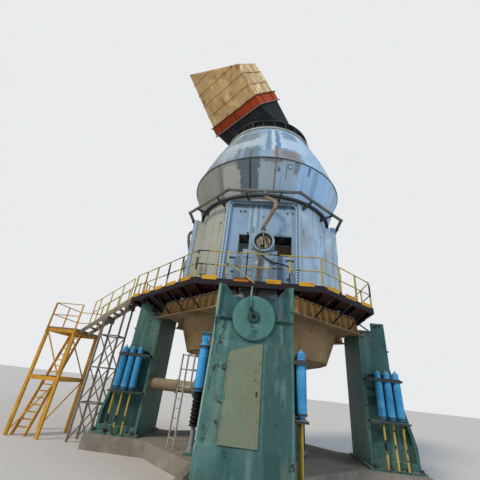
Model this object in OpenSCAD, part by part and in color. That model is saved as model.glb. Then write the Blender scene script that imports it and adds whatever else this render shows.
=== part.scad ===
// Vertical roller mill with its separator housing, service platform and stair.
// The mill axis is the Z axis, the front side faces -Y, and the ground is at z = 0.

/* [Foundation and stands] */
// Height of the concrete block over the ground
foundation_h = 500; // [300:10:900]
// Half width of each foundation arm
foundation_arm_w = 1700; // [1650:10:1900]
// Height of a roller stand from its sole plate to its cap
stand_h = 4780; // [4500:10:5200]
// Width of a roller stand
stand_w = 2520; // [2300:10:2700]
// Distance of a stand's inner face from the mill axis
stand_in = 4500; // [4450:10:4600]
// Depth of the upper stand, from inner to outer face
stand_d = 1150; // [1100:10:1300]
// How far the foot of a stand spreads past its upper part
foot_spread = 600; // [450:10:750]
// Height of the foot's flare
flare_h = 2550; // [2300:10:2700]
// Thickness of the sole plates
sole_t = 80; // [50:5:120]
// Thickness of the cap plates
cap_t = 50; // [30:5:80]
// Depth of the recess in a stand's flanks
flank_cut = 150; // [80:5:200]
// Radius of the round bearing cover
cover_r = 675; // [550:5:720]
// Thickness of the bearing cover
cover_t = 90; // [60:5:140]
// Height of the bearing cover's centre under the stand's top
cover_drop = 730; // [720:5:780]
// Distance of the front's horn, over the cap plate, from the deck's beams
horn_gap = 140; // [100:5:200]
// Depth of the horn
horn_d = 550; // [450:10:600]
// Half width of the notch at the horn's top
notch_w = 1040; // [900:10:1080]
// Width of the inspection panel on the foot
panel_w = 1020; // [900:10:1200]
// Thickness of the inspection panel
panel_t = 45; // [25:5:70]

/* [Hydraulics] */
// Radius of a pull cylinder's barrel
barrel_r = 160; // [120:5:180]
// Gap between a barrel and the stand's flank
barrel_gap = 100; // [60:5:140]
// Length of a barrel
barrel_l = 1310; // [1200:10:1600]
// Length of the bellows under a barrel
bellows_l = 880; // [700:10:1000]
// Radius of an accumulator bottle
bottle_r = 140; // [110:5:150]
// Length of a bottle between its domes
bottle_l = 1560; // [1300:10:1700]
// Height of the bottles' feet over the foundation
bottle_rise = 1510; // [1300:10:1600]
// Spacing of the bottles
bottle_step = 350; // [330:5:380]
// Radius of the pipe under a bottle
bottle_pipe_r = 38; // [25:1:45]
// Gap between the bottles and the stand's flank
bottle_gap = 80; // [50:5:120]

/* [Gear unit and lower housing] */
// Radius of the gear unit under the grinding table
gear_r = 2100; // [1900:10:2300]
// Height of the gear unit
gear_h = 2400; // [2200:10:2600]
// Radius at the foot of the lower housing's cone
hopper_low_r = 3250; // [3000:10:3400]
// Radius at the top of the lower housing's cone
hopper_top_r = 3800; // [3700:10:4000]
// Height of the lower housing's cone
hopper_h = 1500; // [1300:10:1600]
// Radius of the base flange that rests on the stands
base_flange_r = 4620; // [4600:10:4800]
// Thickness of the base flange
base_flange_t = 60; // [40:5:80]
// Height of the input shaft over the foundation
input_rise = 1150; // [1000:10:1300]
// Distance of the input coupling's face from the mill axis
input_reach = 3300; // [3100:10:3400]
// Height of the gallery at the gear unit over the foundation
gallery_rise = 1950; // [1800:10:2050]
// Width of the gallery
gallery_w = 900; // [800:10:1000]
// Depth of the gallery
gallery_d = 1385; // [1200:5:1450]
// Width of the ladder up to the gallery
ladder_w = 420; // [380:10:450]
// Distance of the tie beams' webs from the lower housing and the casing's skirt
tie_gap = 170; // [140:5:200]
// Depth of a tie beam, from its bottom plate's edge to its web
tie_d = 370; // [350:5:390]
// How far the tie beams' bottom plate lies under the stands' top
tie_drop = 260; // [240:5:300]
// Thickness of the tie beams' plates
tie_t = 40; // [30:2:50]
// Number of ribs in a tie beam
tie_ribs = 10; // [6:1:12]
// Number of gussets on the base flange
gusset_count = 72; // [48:4:84]
// Height of the gussets
gusset_h = 420; // [350:10:500]

/* [Casing and doors] */
// Radius of the casing
casing_r = 3560; // [3500:10:3700]
// Height of the casing over the base flange
casing_h = 5340; // [5200:10:5600]
// How far the casing's top flange stands out
casing_lip = 160; // [100:5:200]
// Thickness of the casing's top flange
casing_flange_t = 110; // [80:5:140]
// Half width of a service door
door_w = 1700; // [1600:10:1800]
// Height of a service door over the deck
door_h = 4300; // [4100:10:4400]
// Corner radius of a service door
door_corner = 260; // [150:10:320]
// Width of the bolted door flange
door_flange = 190; // [150:5:230]
// Depth of the door flange in front of its panel
door_recess = 140; // [80:5:180]
// Thickness of the door panel
door_panel_t = 50; // [30:5:70]
// Depth of the two pockets beside the roller hub
pocket_d = 800; // [600:10:900]
// Height of the pockets
pocket_h = 960; // [800:10:1050]
// Height of the roller hub over the deck
hub_rise = 1990; // [1950:10:2100]
// Offset of the hub from the door's middle
hub_x = 120; // [0:5:150]
// Radius of the hub tube
hub_r = 485; // [440:5:520]
// Length of the hub tube in front of the door panel
hub_l = 560; // [450:10:650]
// Radius of the hub's end cap
hub_cap_r = 372; // [330:2:390]
// Width of the lever cover under the hub
lever_w = 1440; // [1300:10:1500]
// How far the lever cover stands out from the door panel
lever_d = 480; // [400:10:600]

/* [Separator] */
// Height of the flared band over the casing
band_h = 1780; // [1600:10:1900]
// Radius of the band at the girth seam
girth_r = 4300; // [4200:10:4400]
// How far the girth flange stands out
girth_lip = 35; // [20:5:60]
// Height of the girth flange
girth_t = 50; // [40:5:80]
// Height of the upper cone
dome_h = 3660; // [3500:10:3800]
// Radius at the top of the upper cone
dome_top_r = 2800; // [2700:10:2900]
// Height of the curb ring on the cone
curb_t = 100; // [80:5:140]
// Height of the neck drum
neck_h = 770; // [650:10:850]
// Radius of the neck drum
neck_r = 2480; // [2350:10:2550]
// Number of stiffeners round the neck drum
neck_ribs = 24; // [16:2:32]

/* [Outlet] */
// Height of the outlet head's cone
head_h = 900; // [800:10:1100]
// Radius at the top of the outlet head
head_top_r = 1500; // [1300:10:1700]
// How far the outlet frame's middle lies to the left of the mill axis
outlet_left = 1770; // [1500:10:1900]
// How far the outlet frame's middle lies in front of the mill axis
outlet_fore = 1590; // [1400:10:1700]
// Height of the outlet frame's middle over the neck drum
outlet_rise = 1760; // [1700:10:2000]
// Turn of the outlet frame about the mill axis
outlet_turn = -42; // [-48:1:-36]
// Tilt of the outlet frame
outlet_tilt = 51; // [46:1:54]
// Length of the outlet frame
outlet_l = 4200; // [4000:10:4300]
// Width of the outlet frame
outlet_w = 2600; // [2400:10:2700]
// Height of the expansion frame
expansion_h = 640; // [560:10:700]
// Length of the clad duct piece over the frame, along its middle
duct_h = 3100; // [2600:10:3400]
// How much narrower the clad duct piece is at its end
duct_taper = 400; // [300:10:600]
// Slant of the duct piece's mitred end
duct_mitre = 25; // [10:1:30]

/* [Seal air] */
// Gap between the casing and the middle of the ring pipe's straights
ring_gap = 540; // [500:10:640]
// Radius of the ring pipe
ring_pipe_r = 80; // [60:5:100]
// Height of the ring pipe under the casing's top
ring_drop = 30; // [20:5:80]
// Radius of a seal air hose
hose_r = 84; // [60:2:100]
// Distance of a hose's two ends from the middle of its door
hose_x = 80; // [0:5:150]
// How far a hose swings out sideways between its ends
hose_swing = 495; // [350:5:550]
// How far a hose bulges out from the door between its ends
hose_bulge = 190; // [100:5:240]

/* [Platform] */
// Height of the deck over the base flange
deck_rise = 660; // [640:10:720]
// Half length of the platform's straight sides
deck_side = 2400; // [2300:10:2500]
// Distance of the platform's edges from the mill axis
deck_reach = 4920; // [4850:10:5000]
// Reach of the platform on the stair side
stair_reach = 6430; // [6380:10:6500]
// Thickness of the deck plate
deck_t = 60; // [40:5:80]
// Depth of the deck's beams
beam_d = 180; // [150:5:180]
// Width of the deck's beams
beam_w = 90; // [70:5:120]
// Height of the hand rail
rail_h = 1100; // [1000:10:1200]
// Width of a rail post
post_w = 56; // [50:2:70]
// Height of the toe plate
toe_h = 150; // [120:5:180]

/* [Stair] */
// Height of the landing over the ground
landing_z = 4250; // [4100:10:4400]
// Distance of the landing's near edge from the mill axis
landing_x = 8600; // [8550:10:8800]
// Length of the landing
landing_l = 1500; // [1400:10:1700]
// Half width of the landing
landing_w = 1100; // [1050:10:1200]
// Width of a stair flight
flight_w = 840; // [760:10:880]
// Number of risers in the upper flight
risers = 9; // [8:1:10]
// Number of rungs and treads in the steep flight
steep_risers = 16; // [14:1:18]
// Width of the tower's columns
column_w = 120; // [100:5:150]
// Spacing of the trestle's two pairs of legs
trestle_step = 900; // [700:10:1000]
// Thickness of the trestle's legs
trestle_leg = 100; // [70:2:110]

/* [Hidden] */
$fn = 96;

// Levels
sole_z = foundation_h;
stand_z = foundation_h + sole_t;
stand_top = foundation_h + stand_h;
flange_z = stand_top + base_flange_t;
deck_z = flange_z + deck_rise;
casing_top = flange_z + casing_h;
band_z = casing_top + casing_flange_t;
girth_z = band_z + band_h;
dome_z = girth_z + girth_t;
curb_z = dome_z + dome_h;
neck_z = curb_z + curb_t;
head_z = neck_z + neck_h;
hub_z = deck_z + hub_rise;
cover_z = stand_top - cover_drop;
ring_z = casing_top - ring_drop;
lug_t = 70;

// Turn of each side of the mill, and the flank that carries its bottles
FRONT = 0;
RIGHT = 90;
BACK = 180;
LEFT = 270;
SIDES = [FRONT, RIGHT, BACK, LEFT];
function bottle_flank(turn) = (turn == FRONT || turn == LEFT) ? 1 : -1;

// Stand outline
stand_out = stand_in + stand_d;
foot_out = stand_out + foot_spread;
foundation_out = foot_out + 200;
foundation_r = stand_in - 200;
foot_lip = 700;
knee_z = stand_z + foot_lip + flare_h;
edge_w = 110;
bay_z = cover_z - 30;
bay_d = 120;
web_t = 35;
notch_low_w = 440;
cap_lip = 40;
horn_top = deck_z - deck_t - beam_d - horn_gap;

// Doors
door_plane = casing_r + 10;
panel_plane = door_plane + door_panel_t;
door_face = panel_plane + door_recess;
door_top = deck_z + door_h;
pocket_top = hub_z + 550;

small = 0.3;

// A bar from p to q with a round section of n sides
module bar(p, q, d, n = 8) {
    v = q - p;
    l = norm(v);
    translate(p) rotate([0, acos(v[2] / l), atan2(v[1], v[0])])
        rotate(180 / n) cylinder(d = d, h = l, $fn = n);
}

// A box from corner p to corner q
module block(p, q) {
    translate(p) cube(q - p);
}

// A profile of [y, z] points carried along X over a width, centred on x
module slab_x(x, width, points) {
    translate([x - width / 2, 0, 0]) rotate([90, 0, 90]) linear_extrude(width) polygon(points);
}

// Children drawn in [x, z], carried from y = -near to y = -far
module slab_y(near, far) {
    translate([0, -near, 0]) rotate([90, 0, 0]) linear_extrude(far - near) children();
}

// A rectangle with round upper corners, from its lower edge
module arch(half, z0, z1, r) {
    difference() {
        translate([-half, z0]) square([2 * half, z1 - z0]);
        for (s = [-1, 1]) translate([s * half, z1]) difference() {
            square(2 * r, center = true);
            translate([-s * r, -r]) circle(r);
        }
    }
}

// A round pipe swept along points, as one closed surface
module sweep(path, r, n = 12) {
    count = len(path);
    dirs = [for (i = [0 : count - 1])
        let (a = path[max(i - 1, 0)], b = path[min(i + 1, count - 1)]) (b - a) / norm(b - a)];
    points = [for (i = [0 : count - 1])
        let (d = dirs[i], u = cross(d, [0, 1, 0]), side = u / norm(u), up = cross(side, d))
        for (k = [0 : n - 1]) path[i] + r * (cos(360 * k / n) * side + sin(360 * k / n) * up)];
    walls = [for (i = [0 : count - 2], k = [0 : n - 1])
        let (m = (k + 1) % n) each [[i * n + k, (i + 1) * n + m, i * n + m],
            [i * n + k, (i + 1) * n + k, (i + 1) * n + m]]];
    ends = [[for (k = [0 : n - 1]) k], [for (k = [n - 1 : -1 : 0]) (count - 1) * n + k]];
    polyhedron(points, concat(walls, ends), convexity = 4);
}

// Points of a smooth curve through control points
function curve_point(p, i, t) =
    let (a = p[max(i - 1, 0)], b = p[i], c = p[i + 1], d = p[min(i + 2, len(p) - 1)])
    0.5 * (2 * b + (c - a) * t + (2 * a - 5 * b + 4 * c - d) * t * t
        + (3 * b - a - 3 * c + d) * t * t * t);
function smooth(p, steps) = concat(
    [for (i = [0 : len(p) - 2], k = [0 : steps - 1]) curve_point(p, i, k / steps)],
    [p[len(p) - 1]]);

module foundation_block() {
    color("#8c8880") linear_extrude(foundation_h) union() {
        rotate(22.5) circle(r = foundation_r, $fn = 8);
        for (a = [0, 90]) rotate(a) square([2 * foundation_out, 2 * foundation_arm_w], center = true);
    }
}

// Side outline of a stand, as [y, z] points
function stand_outline(inset) = [
    [-(stand_in + inset), stand_z + inset],
    [-(foot_out - inset), stand_z + inset],
    [-(foot_out - inset), stand_z + foot_lip],
    [-(stand_out - inset), knee_z - inset / 2],
    [-(stand_out - inset), horn_top - inset],
    [-(stand_out - horn_d + inset), horn_top - inset],
    [-(stand_out - horn_d + inset), stand_top - cap_t - inset],
    [-(stand_in + inset), stand_top - cap_t - inset]];

// The hollow in a stand's flank, behind the hydraulics
flank_hollow = [
    [-(stand_in + 110), stand_z + 220],
    [-(foot_out - 120), stand_z + 220],
    [-(foot_out - 120), stand_z + foot_lip],
    [-(stand_out + 10), knee_z - 520],
    [-(stand_out - 50), knee_z - 380],
    [-(stand_out - 170), knee_z - 290],
    [-(stand_out - 330), knee_z - 250],
    [-(stand_in + 330), knee_z - 250],
    [-(stand_in + 190), knee_z - 310],
    [-(stand_in + 110), knee_z - 450]];

module lug(side, z) {
    root = stand_w / 2 - flank_cut - 5;
    tip = stand_w / 2 + barrel_gap + 2 * barrel_r;
    block([side > 0 ? root : -tip, -(cylinder_y + 130), z],
        [side > 0 ? tip : -root, -(cylinder_y - 130), z + lug_t]);
}

module stand(side) {
    color("#3f7a68") union() {
        difference() {
            slab_x(0, stand_w, stand_outline(0));
            for (s = [-1, 1])
                slab_x(s * (stand_w - flank_cut) / 2, flank_cut + 1, flank_hollow);
            // the bay round the bearing is open between the side plates
            block([-(stand_w / 2 - edge_w), -(stand_out + 1), bay_z],
                [stand_w / 2 - edge_w, -(stand_out - bay_d), horn_top + 1]);
            // the horn is open behind its web
            block([-(stand_w / 2 - edge_w), -(stand_out - bay_d - web_t), stand_top],
                [stand_w / 2 - edge_w, -(stand_out - horn_d - 1), horn_top + 1]);
            // and its web is notched down to the bearing
            slab_y(stand_out - 400, stand_out + 1) polygon([[-notch_w, horn_top + 1],
                [notch_w, horn_top + 1], [notch_low_w, cover_z + 380], [-notch_low_w, cover_z + 380]]);
        }
        // housing of the bearing
        slab_y(stand_out - bay_d - 1, stand_out) translate([0, cover_z]) circle(cover_r - 60);
        // sole and cap plates
        block([-(stand_w / 2 + 140), -(foot_out + 150), sole_z],
            [stand_w / 2 + 140, -(stand_in - 100), stand_z]);
        block([-(stand_w / 2 + cap_lip), -(stand_out - horn_d), stand_top - cap_t],
            [stand_w / 2 + cap_lip, -stand_in, stand_top]);
        // ledges beside the bearing cover
        ledge_in = sqrt(pow(cover_r, 2) - pow(cover_z - bay_z, 2)) + small;
        for (s = [-1, 1])
            block([s > 0 ? ledge_in : -stand_w / 2, -(stand_out + 70), bay_z - 50],
                [s > 0 ? stand_w / 2 : -ledge_in, -(stand_out - bay_d - 1), bay_z]);
        // gussets under the cap on both flanks
        for (s = [-1, 1], y = [stand_in + 150, stand_in + 450])
            translate([s * stand_w / 2, -y, stand_top - cap_t])
                rotate([90, 0, 0]) linear_extrude(30)
                    polygon([[0, 0], [s * 38, 0], [s * 38, -60], [0, -320]]);
        // cylinder lugs
        lug(-side, lug_high);
        lug(-side, lug_low);
    }
}

cylinder_y = stand_in + 700;
lug_low = stand_z + 300;
rod_l = 560;
boot_z = lug_low + lug_t + rod_l;
barrel_z = boot_z + bellows_l;
head_l = 300;
eye_r = 125;
lug_high = barrel_z + barrel_l + head_l;

// Half section of a pull cylinder: rod, bellows, barrel and head
folds = 9;
cylinder_section = concat(
    [[0, lug_low + lug_t], [95, lug_low + lug_t], [95, lug_low + lug_t + 90],
        [60, lug_low + lug_t + 120], [60, boot_z]],
    [for (i = [0 : folds - 1]) each [[150, boot_z + bellows_l * (i + 0.25) / folds],
        [112, boot_z + bellows_l * (i + 0.75) / folds]]],
    [[barrel_r + 12, barrel_z], [barrel_r + 12, barrel_z + 60], [barrel_r, barrel_z + 62],
        [barrel_r, barrel_z + barrel_l * 0.72], [barrel_r - 14, barrel_z + barrel_l * 0.74],
        [barrel_r - 14, barrel_z + barrel_l - 80], [barrel_r + 6, barrel_z + barrel_l - 78],
        [barrel_r + 6, barrel_z + barrel_l - 20], [110, barrel_z + barrel_l],
        [110, lug_high - 2 * eye_r + 30], [0, lug_high - 2 * eye_r + 30]]);

module pull_cylinders() {
    color("#3f8fc4") for (turn = SIDES) rotate(turn)
        translate([-bottle_flank(turn) * (stand_w / 2 + barrel_gap + barrel_r), -cylinder_y, 0])
            union() {
                rotate_extrude($fn = 48) polygon(cylinder_section);
                // eye and pin
                slab_y(-60, 60) translate([0, lug_high - eye_r]) circle(eye_r, $fn = 48);
                slab_y(-95, 95) translate([0, lug_high - eye_r]) circle(52, $fn = 24);
            }
}

bottle_y = [for (i = [-1 : 1]) stand_out - 260 + i * bottle_step];
bottle_x = stand_w / 2 + bottle_gap + bottle_r;
bottle_z = foundation_h + bottle_rise;
bottle_section = [[0, bottle_z], [45, bottle_z], [45, bottle_z + 40], [bottle_r - 30, bottle_z + 55],
    [bottle_r, bottle_z + 110], [bottle_r, bottle_z + bottle_l - 130],
    [bottle_r - 22, bottle_z + bottle_l - 90], [bottle_r - 22, bottle_z + bottle_l + 40],
    [bottle_r - 42, bottle_z + bottle_l + 90], [bottle_r - 80, bottle_z + bottle_l + 125],
    [20, bottle_z + bottle_l + 140], [20, bottle_z + bottle_l + 190], [0, bottle_z + bottle_l + 190]];
clamp_z = bottle_z + bottle_l - 240;

module accumulator_bottles() {
    color("#3d8dc2") for (turn = SIDES, y = bottle_y) rotate(turn)
        translate([bottle_flank(turn) * bottle_x, -y, 0])
            rotate_extrude($fn = 40) polygon(bottle_section);
}

module accumulator_brackets() {
    color("#2c3135") for (turn = SIDES) rotate(turn) mirror([bottle_flank(turn) > 0 ? 0 : 1, 0, 0]) {
        // shelf under the bottles
        block([stand_w / 2 + small, -(bottle_y[2] + 270), bottle_z - 60 - small],
            [bottle_x + bottle_r + 20, -(stand_in + 50), bottle_z - small]);
        // clamp round the bottles
        difference() {
            block([stand_w / 2 + small, -(bottle_y[2] + 185), clamp_z],
                [bottle_x + bottle_r + 30, -(stand_in + 50), clamp_z + 90]);
            for (y = bottle_y) translate([bottle_x, -y, clamp_z - 1])
                cylinder(r = bottle_r + small, h = 92, $fn = 40);
        }
    }
}

module hydraulic_pipes() {
    color("#c9a53a") for (turn = SIDES, y = bottle_y) rotate(turn)
        translate([bottle_flank(turn) * bottle_x, -y, stand_z])
            cylinder(r = bottle_pipe_r, h = bottle_z - 60 - 2 * small - stand_z, $fn = 24);
}

module bearing_covers() {
    color("#4f8a72") for (turn = SIDES) rotate(turn) translate([0, -stand_out, cover_z])
        rotate([90, 0, 0]) difference() {
            union() {
                cylinder(r = cover_r, h = cover_t);
                cylinder(r = 205, h = cover_t + 40);
                cylinder(r = 150, h = cover_t + 75);
            }
            translate([0, 0, cover_t - 20]) cylinder(r = 85, h = 120);
        }
}

// The panel lies on the sloping face of the foot
panel_x = -(panel_w / 2 - 340);
module inspection_panels() {
    start = stand_z + foot_lip + 60;
    rise = flare_h - 100;
    edge = panel_w / 2;
    function face(z) = foot_out - (z - stand_z - foot_lip) * foot_spread / flare_h;
    color("#7d8a5c") for (turn = SIDES) rotate(turn) intersection() {
        slab_x(panel_x, panel_w, [[-face(start), start], [-(face(start) + panel_t), start],
            [-(face(start + rise) + panel_t), start + rise], [-face(start + rise), start + rise]]);
        slab_y(stand_in, foot_out + 2 * panel_t) translate([panel_x, start]) polygon([[-edge, 0],
            [edge, 0], [edge, rise - 60], [edge - 50, rise], [edge - 110, rise],
            [100 - edge, rise - 250], [30 - edge, rise - 330], [-edge, rise - 450]]);
    }
}

input_turn = 45;
input_z = foundation_h + input_rise;
module gear_unit() {
    color("#4b5a58") union() {
        translate([0, 0, foundation_h]) cylinder(r = gear_r + 250, h = 120);
        translate([0, 0, foundation_h]) cylinder(r = gear_r, h = gear_h);
        translate([0, 0, foundation_h + gear_h - 110]) cylinder(r = gear_r + 180, h = 110);
        for (i = [0 : 15]) rotate(i * 22.5) translate([gear_r - 20, -20, foundation_h + 100])
            cube([190, 40, gear_h - 200]);
        // boss of the lubrication pipe
        block([-(gear_r + 400), lube_y - 330, lube_z - 330], [-(gear_r - 400), lube_y + 330, lube_z + 330]);
        // input shaft housing and coupling flange
        rotate(input_turn) translate([0, 0, input_z]) rotate([0, 90, 0]) {
            cylinder(r = 520, h = input_reach - 500);
            cylinder(r = 600, h = input_reach - 820);
            cylinder(r = 150, h = input_reach);
            translate([0, 0, input_reach - 90]) cylinder(r = 330, h = 90);
        }
    }
}

hopper_z = stand_top - hopper_h;
module lower_housing() {
    color("#8a7458") rotate_extrude() polygon([
        [0, foundation_h + gear_h], [gear_r + 60, foundation_h + gear_h],
        [gear_r + 60, hopper_z - 260], [hopper_low_r - 160, hopper_z - 60],
        [hopper_low_r - 160, hopper_z], [hopper_low_r, hopper_z],
        [hopper_top_r, stand_top - 120], [hopper_top_r, stand_top], [0, stand_top]]);
}

// A built-up beam across one corner, between two stands: bottom plate, web, ribs and top plate.
// It is drawn with its outer side towards +X.
tie_web = max(hopper_top_r, casing_r + 240) + tie_gap;
tie_r = tie_web + tie_d;
tie_z = stand_top - tie_drop;
tie_top = deck_z - deck_t - beam_d - 40;
tie_lip = 120;
tie_slant = 150;
tie_corner = (stand_w / 2 + cap_lip + small) * sqrt(2);
module tie_beam() {
    web = tie_web;
    top_edge = tie_r - tie_lip - tie_slant;
    translate([0, 0, tie_z]) linear_extrude(tie_t) difference() {
        polygon([[tie_r, tie_corner - tie_r], [tie_r, tie_r - tie_corner],
            [tie_corner + 100, 100], [tie_corner + 100, -100]]);
        circle(hopper_top_r);
    }
    translate([web - tie_t, tie_corner - web, tie_z + 1])
        cube([tie_t, 2 * (web - tie_corner), tie_top - tie_z - 2]);
    translate([web - tie_t, tie_corner - web, tie_top - tie_t])
        cube([top_edge + 30 - web + tie_t, 2 * (web - tie_corner), tie_t]);
    for (k = [0 : tie_ribs - 1])
        translate([0, (2 * k / (tie_ribs - 1) - 1) * (web - tie_corner - 30) + 15, 0])
            rotate([90, 0, 0]) linear_extrude(30) polygon([[web - 1, tie_z + 1],
                [tie_r - tie_lip, tie_z + 1], [tie_r - tie_lip, tie_z + tie_t + 60],
                [top_edge, tie_top - 1], [web - 1, tie_top - 1]]);
}

module base_ring() {
    color("#8f7b5e") union() {
        translate([0, 0, stand_top]) intersection() {
            cylinder(r = base_flange_r, h = base_flange_t);
            rotate(45) translate([0, 0, base_flange_t / 2])
                cube([2 * tie_web, 2 * tie_web, base_flange_t], center = true);
        }
        for (turn = SIDES) rotate(turn + 45) tie_beam();
        difference() {
            translate([0, 0, flange_z - 1]) cylinder(r = casing_r + 140, h = 81);
            translate([0, 0, flange_z]) cylinder(r = casing_r + small, h = 100);
        }
        for (i = [0 : gusset_count - 1]) rotate((i + 0.5) * 360 / gusset_count)
            translate([casing_r + 2, 15, flange_z]) rotate([90, 0, 0]) linear_extrude(30)
                polygon([[0, 0], [gusset_d, 0], [gusset_d, 70], [110, gusset_h], [0, gusset_h]]);
    }
}

gusset_d = tie_web - tie_t - casing_r + 10;

module pockets(near, far) {
    slab_y(near, far) {
        translate([-1000, pocket_top - pocket_h]) square([470, pocket_h]);
        translate([540, pocket_top - pocket_h]) square([820, pocket_h]);
    }
}

module casing_shell() {
    color("#b9b9b0") difference() {
        union() {
            translate([0, 0, flange_z]) cylinder(r = casing_r, h = casing_h);
            for (turn = SIDES) rotate(turn)
                slab_y(casing_r * 0.6, door_plane)
                    arch(door_w - 45, deck_z, door_top - 45, door_corner - 45);
        }
        for (turn = SIDES) rotate(turn) pockets(door_plane - pocket_d, door_plane + 1);
    }
}

module service_door(turn) {
    color("#9fb2c4") rotate(turn) difference() {
        slab_y(door_plane, door_face) arch(door_w, deck_z, door_top, door_corner);
        slab_y(panel_plane, door_face + 1)
            arch(door_w - door_flange, deck_z - 1, door_top - door_flange, door_corner - 60);
        pockets(door_plane - 1, door_face);
    }
}

lever_top = hub_z - 310;
module hub_tubes() {
    color("#a9bccb") for (turn = SIDES) rotate(turn) difference() {
        union() {
            slab_y(panel_plane, panel_plane + hub_l) translate([hub_x, hub_z]) circle(hub_r);
            // spigot of the seal air hose
            translate([hose_x, -hub_spigot_y, hub_z + hub_r - 60])
                cylinder(r = spigot_r, h = hub_spigot_h, $fn = 32);
            // lever cover, with a sloping top behind the hub
            slab_x(0, lever_w, [[-panel_plane, deck_z], [-(panel_plane + lever_d), deck_z],
                [-(panel_plane + lever_d), lever_top - 150], [-(panel_plane + lever_d - 150), lever_top],
                [-panel_plane, lever_top]]);
            slab_y(panel_plane, panel_plane + lever_d - 60)
                translate([hub_x - hub_r, lever_top - 10]) square([2 * hub_r, hub_z - lever_top + 10]);
        }
        slab_y(panel_plane + 160, panel_plane + hub_l + 1) translate([hub_x, hub_z]) circle(hub_r - 55);
        // slot between the lever cover's two parts
        block([-530, -(panel_plane + lever_d + 1), deck_z + 100],
            [-470, -(panel_plane + lever_d - 140), lever_top - 200]);
    }
}

module hub_caps() {
    color("#cdbf9a") for (turn = SIDES) rotate(turn) difference() {
        union() {
            slab_y(panel_plane + 160, panel_plane + hub_l - 70) translate([hub_x, hub_z])
                circle(hub_cap_r);
            slab_y(panel_plane + hub_l - 71, panel_plane + hub_l - 20) translate([hub_x, hub_z])
                circle(120);
        }
        slab_y(panel_plane + hub_l - 110, panel_plane + hub_l) translate([hub_x, hub_z]) difference() {
            circle(hub_cap_r - 50);
            circle(170);
            for (a = [0 : 60 : 150]) rotate(a) square([2 * hub_cap_r, 56], center = true);
        }
    }
}

module casing_flange() {
    color("#5d5e5c") translate([0, 0, casing_top])
        cylinder(r = casing_r + casing_lip, h = casing_flange_t);
}

module separator_band() {
    color("#b7bdbd") translate([0, 0, band_z])
        cylinder(r1 = casing_r + 100, r2 = girth_r, h = band_h, $fn = 128);
}

module girth_flange() {
    color("#6c7478") translate([0, 0, girth_z])
        cylinder(r = girth_r + girth_lip, h = girth_t, $fn = 128);
}

// The cone bellies out a little between its two ends
module separator_cone() {
    belly = 120;
    steps = 4;
    color("#c3cdd3") rotate_extrude($fn = 128) polygon(concat([[0, dome_z]],
        [for (i = [0 : steps]) let (t = i / steps)
            [girth_r + (dome_top_r - girth_r) * t + belly * sin(180 * t), dome_z + dome_h * t]],
        [[0, curb_z]]));
}

module curb_ring() {
    color("#a8aca6") translate([0, 0, curb_z]) cylinder(r = dome_top_r + 70, h = curb_t);
}

module neck_drum() {
    color("#454d50") union() {
        translate([0, 0, neck_z]) cylinder(r = neck_r, h = neck_h);
        for (i = [0 : neck_ribs - 1]) rotate((i + 0.5) * 360 / neck_ribs)
            translate([neck_r - 20, -25, neck_z]) cube([210, 50, neck_h - 60]);
        translate([0, 0, head_z - 60]) cylinder(r = neck_r + 220, h = 60);
    }
}

module outlet_head() {
    color("#9db0bd") translate([0, 0, head_z])
        cylinder(r1 = neck_r + 40, r2 = head_top_r, h = head_h);
}

// The outlet leaves the head to the left, at a tilt
outlet_at = [-outlet_left, -outlet_fore, head_z + outlet_rise];
module at_outlet() {
    translate(outlet_at) rotate([outlet_tilt, 0, outlet_turn]) children();
}

// Hood between the head and the frame, with a flat seat on the neck drum
module outlet_hood() {
    color("#3c4447") difference() {
        hull() {
            translate([0, 0, head_z + small]) cylinder(r = neck_r - 300, h = 10, $fn = 32);
            translate([0, 0, head_z + head_h + 60]) cylinder(r = head_top_r * 0.4, h = 10, $fn = 32);
            at_outlet() translate([0, 0, -expansion_h / 2 - 10 - small])
                cube([outlet_l - 160, outlet_w - 160, 20], center = true);
        }
        translate([0, 0, head_z]) cylinder(r1 = neck_r + 41, r2 = head_top_r + 1, h = head_h + 1);
    }
}

module expansion_frame() {
    band = expansion_h - 80;
    color("#a2402c") at_outlet() union() {
        cube([outlet_l, outlet_w, band], center = true);
        for (s = [-1, 1]) translate([0, 0, s * (expansion_h / 2 - 20)])
            cube([outlet_l + 160, outlet_w + 160, 40], center = true);
        // stiffeners between the two flanges
        for (t = [-0.34, 0, 0.34]) translate([t * outlet_l, 0, 0])
            cube([60, outlet_w + 120, band], center = true);
        for (t = [-0.25, 0.25]) translate([0, t * outlet_w, 0])
            cube([outlet_l + 120, 60, band], center = true);
    }
}

// Clad duct from the frame on, with a mitred end
module clad_duct() {
    far = duct_h + outlet_l / 2 * tan(duct_mitre);
    shrink = duct_taper * far / duct_h;
    color("#c8b48a") at_outlet() translate([0, 0, expansion_h / 2 + small]) difference() {
        hull() {
            translate([0, 0, 0.5]) cube([outlet_l - 120, outlet_w - 120, 1], center = true);
            translate([0, 0, far - 0.5]) cube([outlet_l - shrink, outlet_w - shrink, 1], center = true);
        }
        translate([0, 0, duct_h]) rotate([0, duct_mitre, 0])
            translate([-outlet_l, -outlet_w, 0]) cube([2 * outlet_l, 2 * outlet_w, 2 * far]);
    }
}

// Ring pipe in eight spools, each with the elbow at its start
ring_in = casing_r + ring_gap;
ring_half = ring_in * tan(22.5);
spigot_h = 200;
spigot_r = hose_r + 16;
elbow_r = ring_pipe_r + 22;
module seal_air_ring() {
    color("#8d8c84") for (i = [0 : 7]) rotate(i * 45) union() {
        translate([-ring_half, -ring_in, ring_z]) rotate([0, 90, 0])
            cylinder(r = ring_pipe_r, h = 2 * ring_half - elbow_r - small, $fn = 32);
        translate([-ring_half, -ring_in, ring_z]) sphere(r = elbow_r, $fn = 32);
        // hose spigot on the straights in front of the doors
        if (i % 2 == 0) translate([hose_x, -ring_in, ring_z - spigot_h - 30])
            cylinder(r = spigot_r, h = spigot_h, $fn = 32);
    }
}

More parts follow.
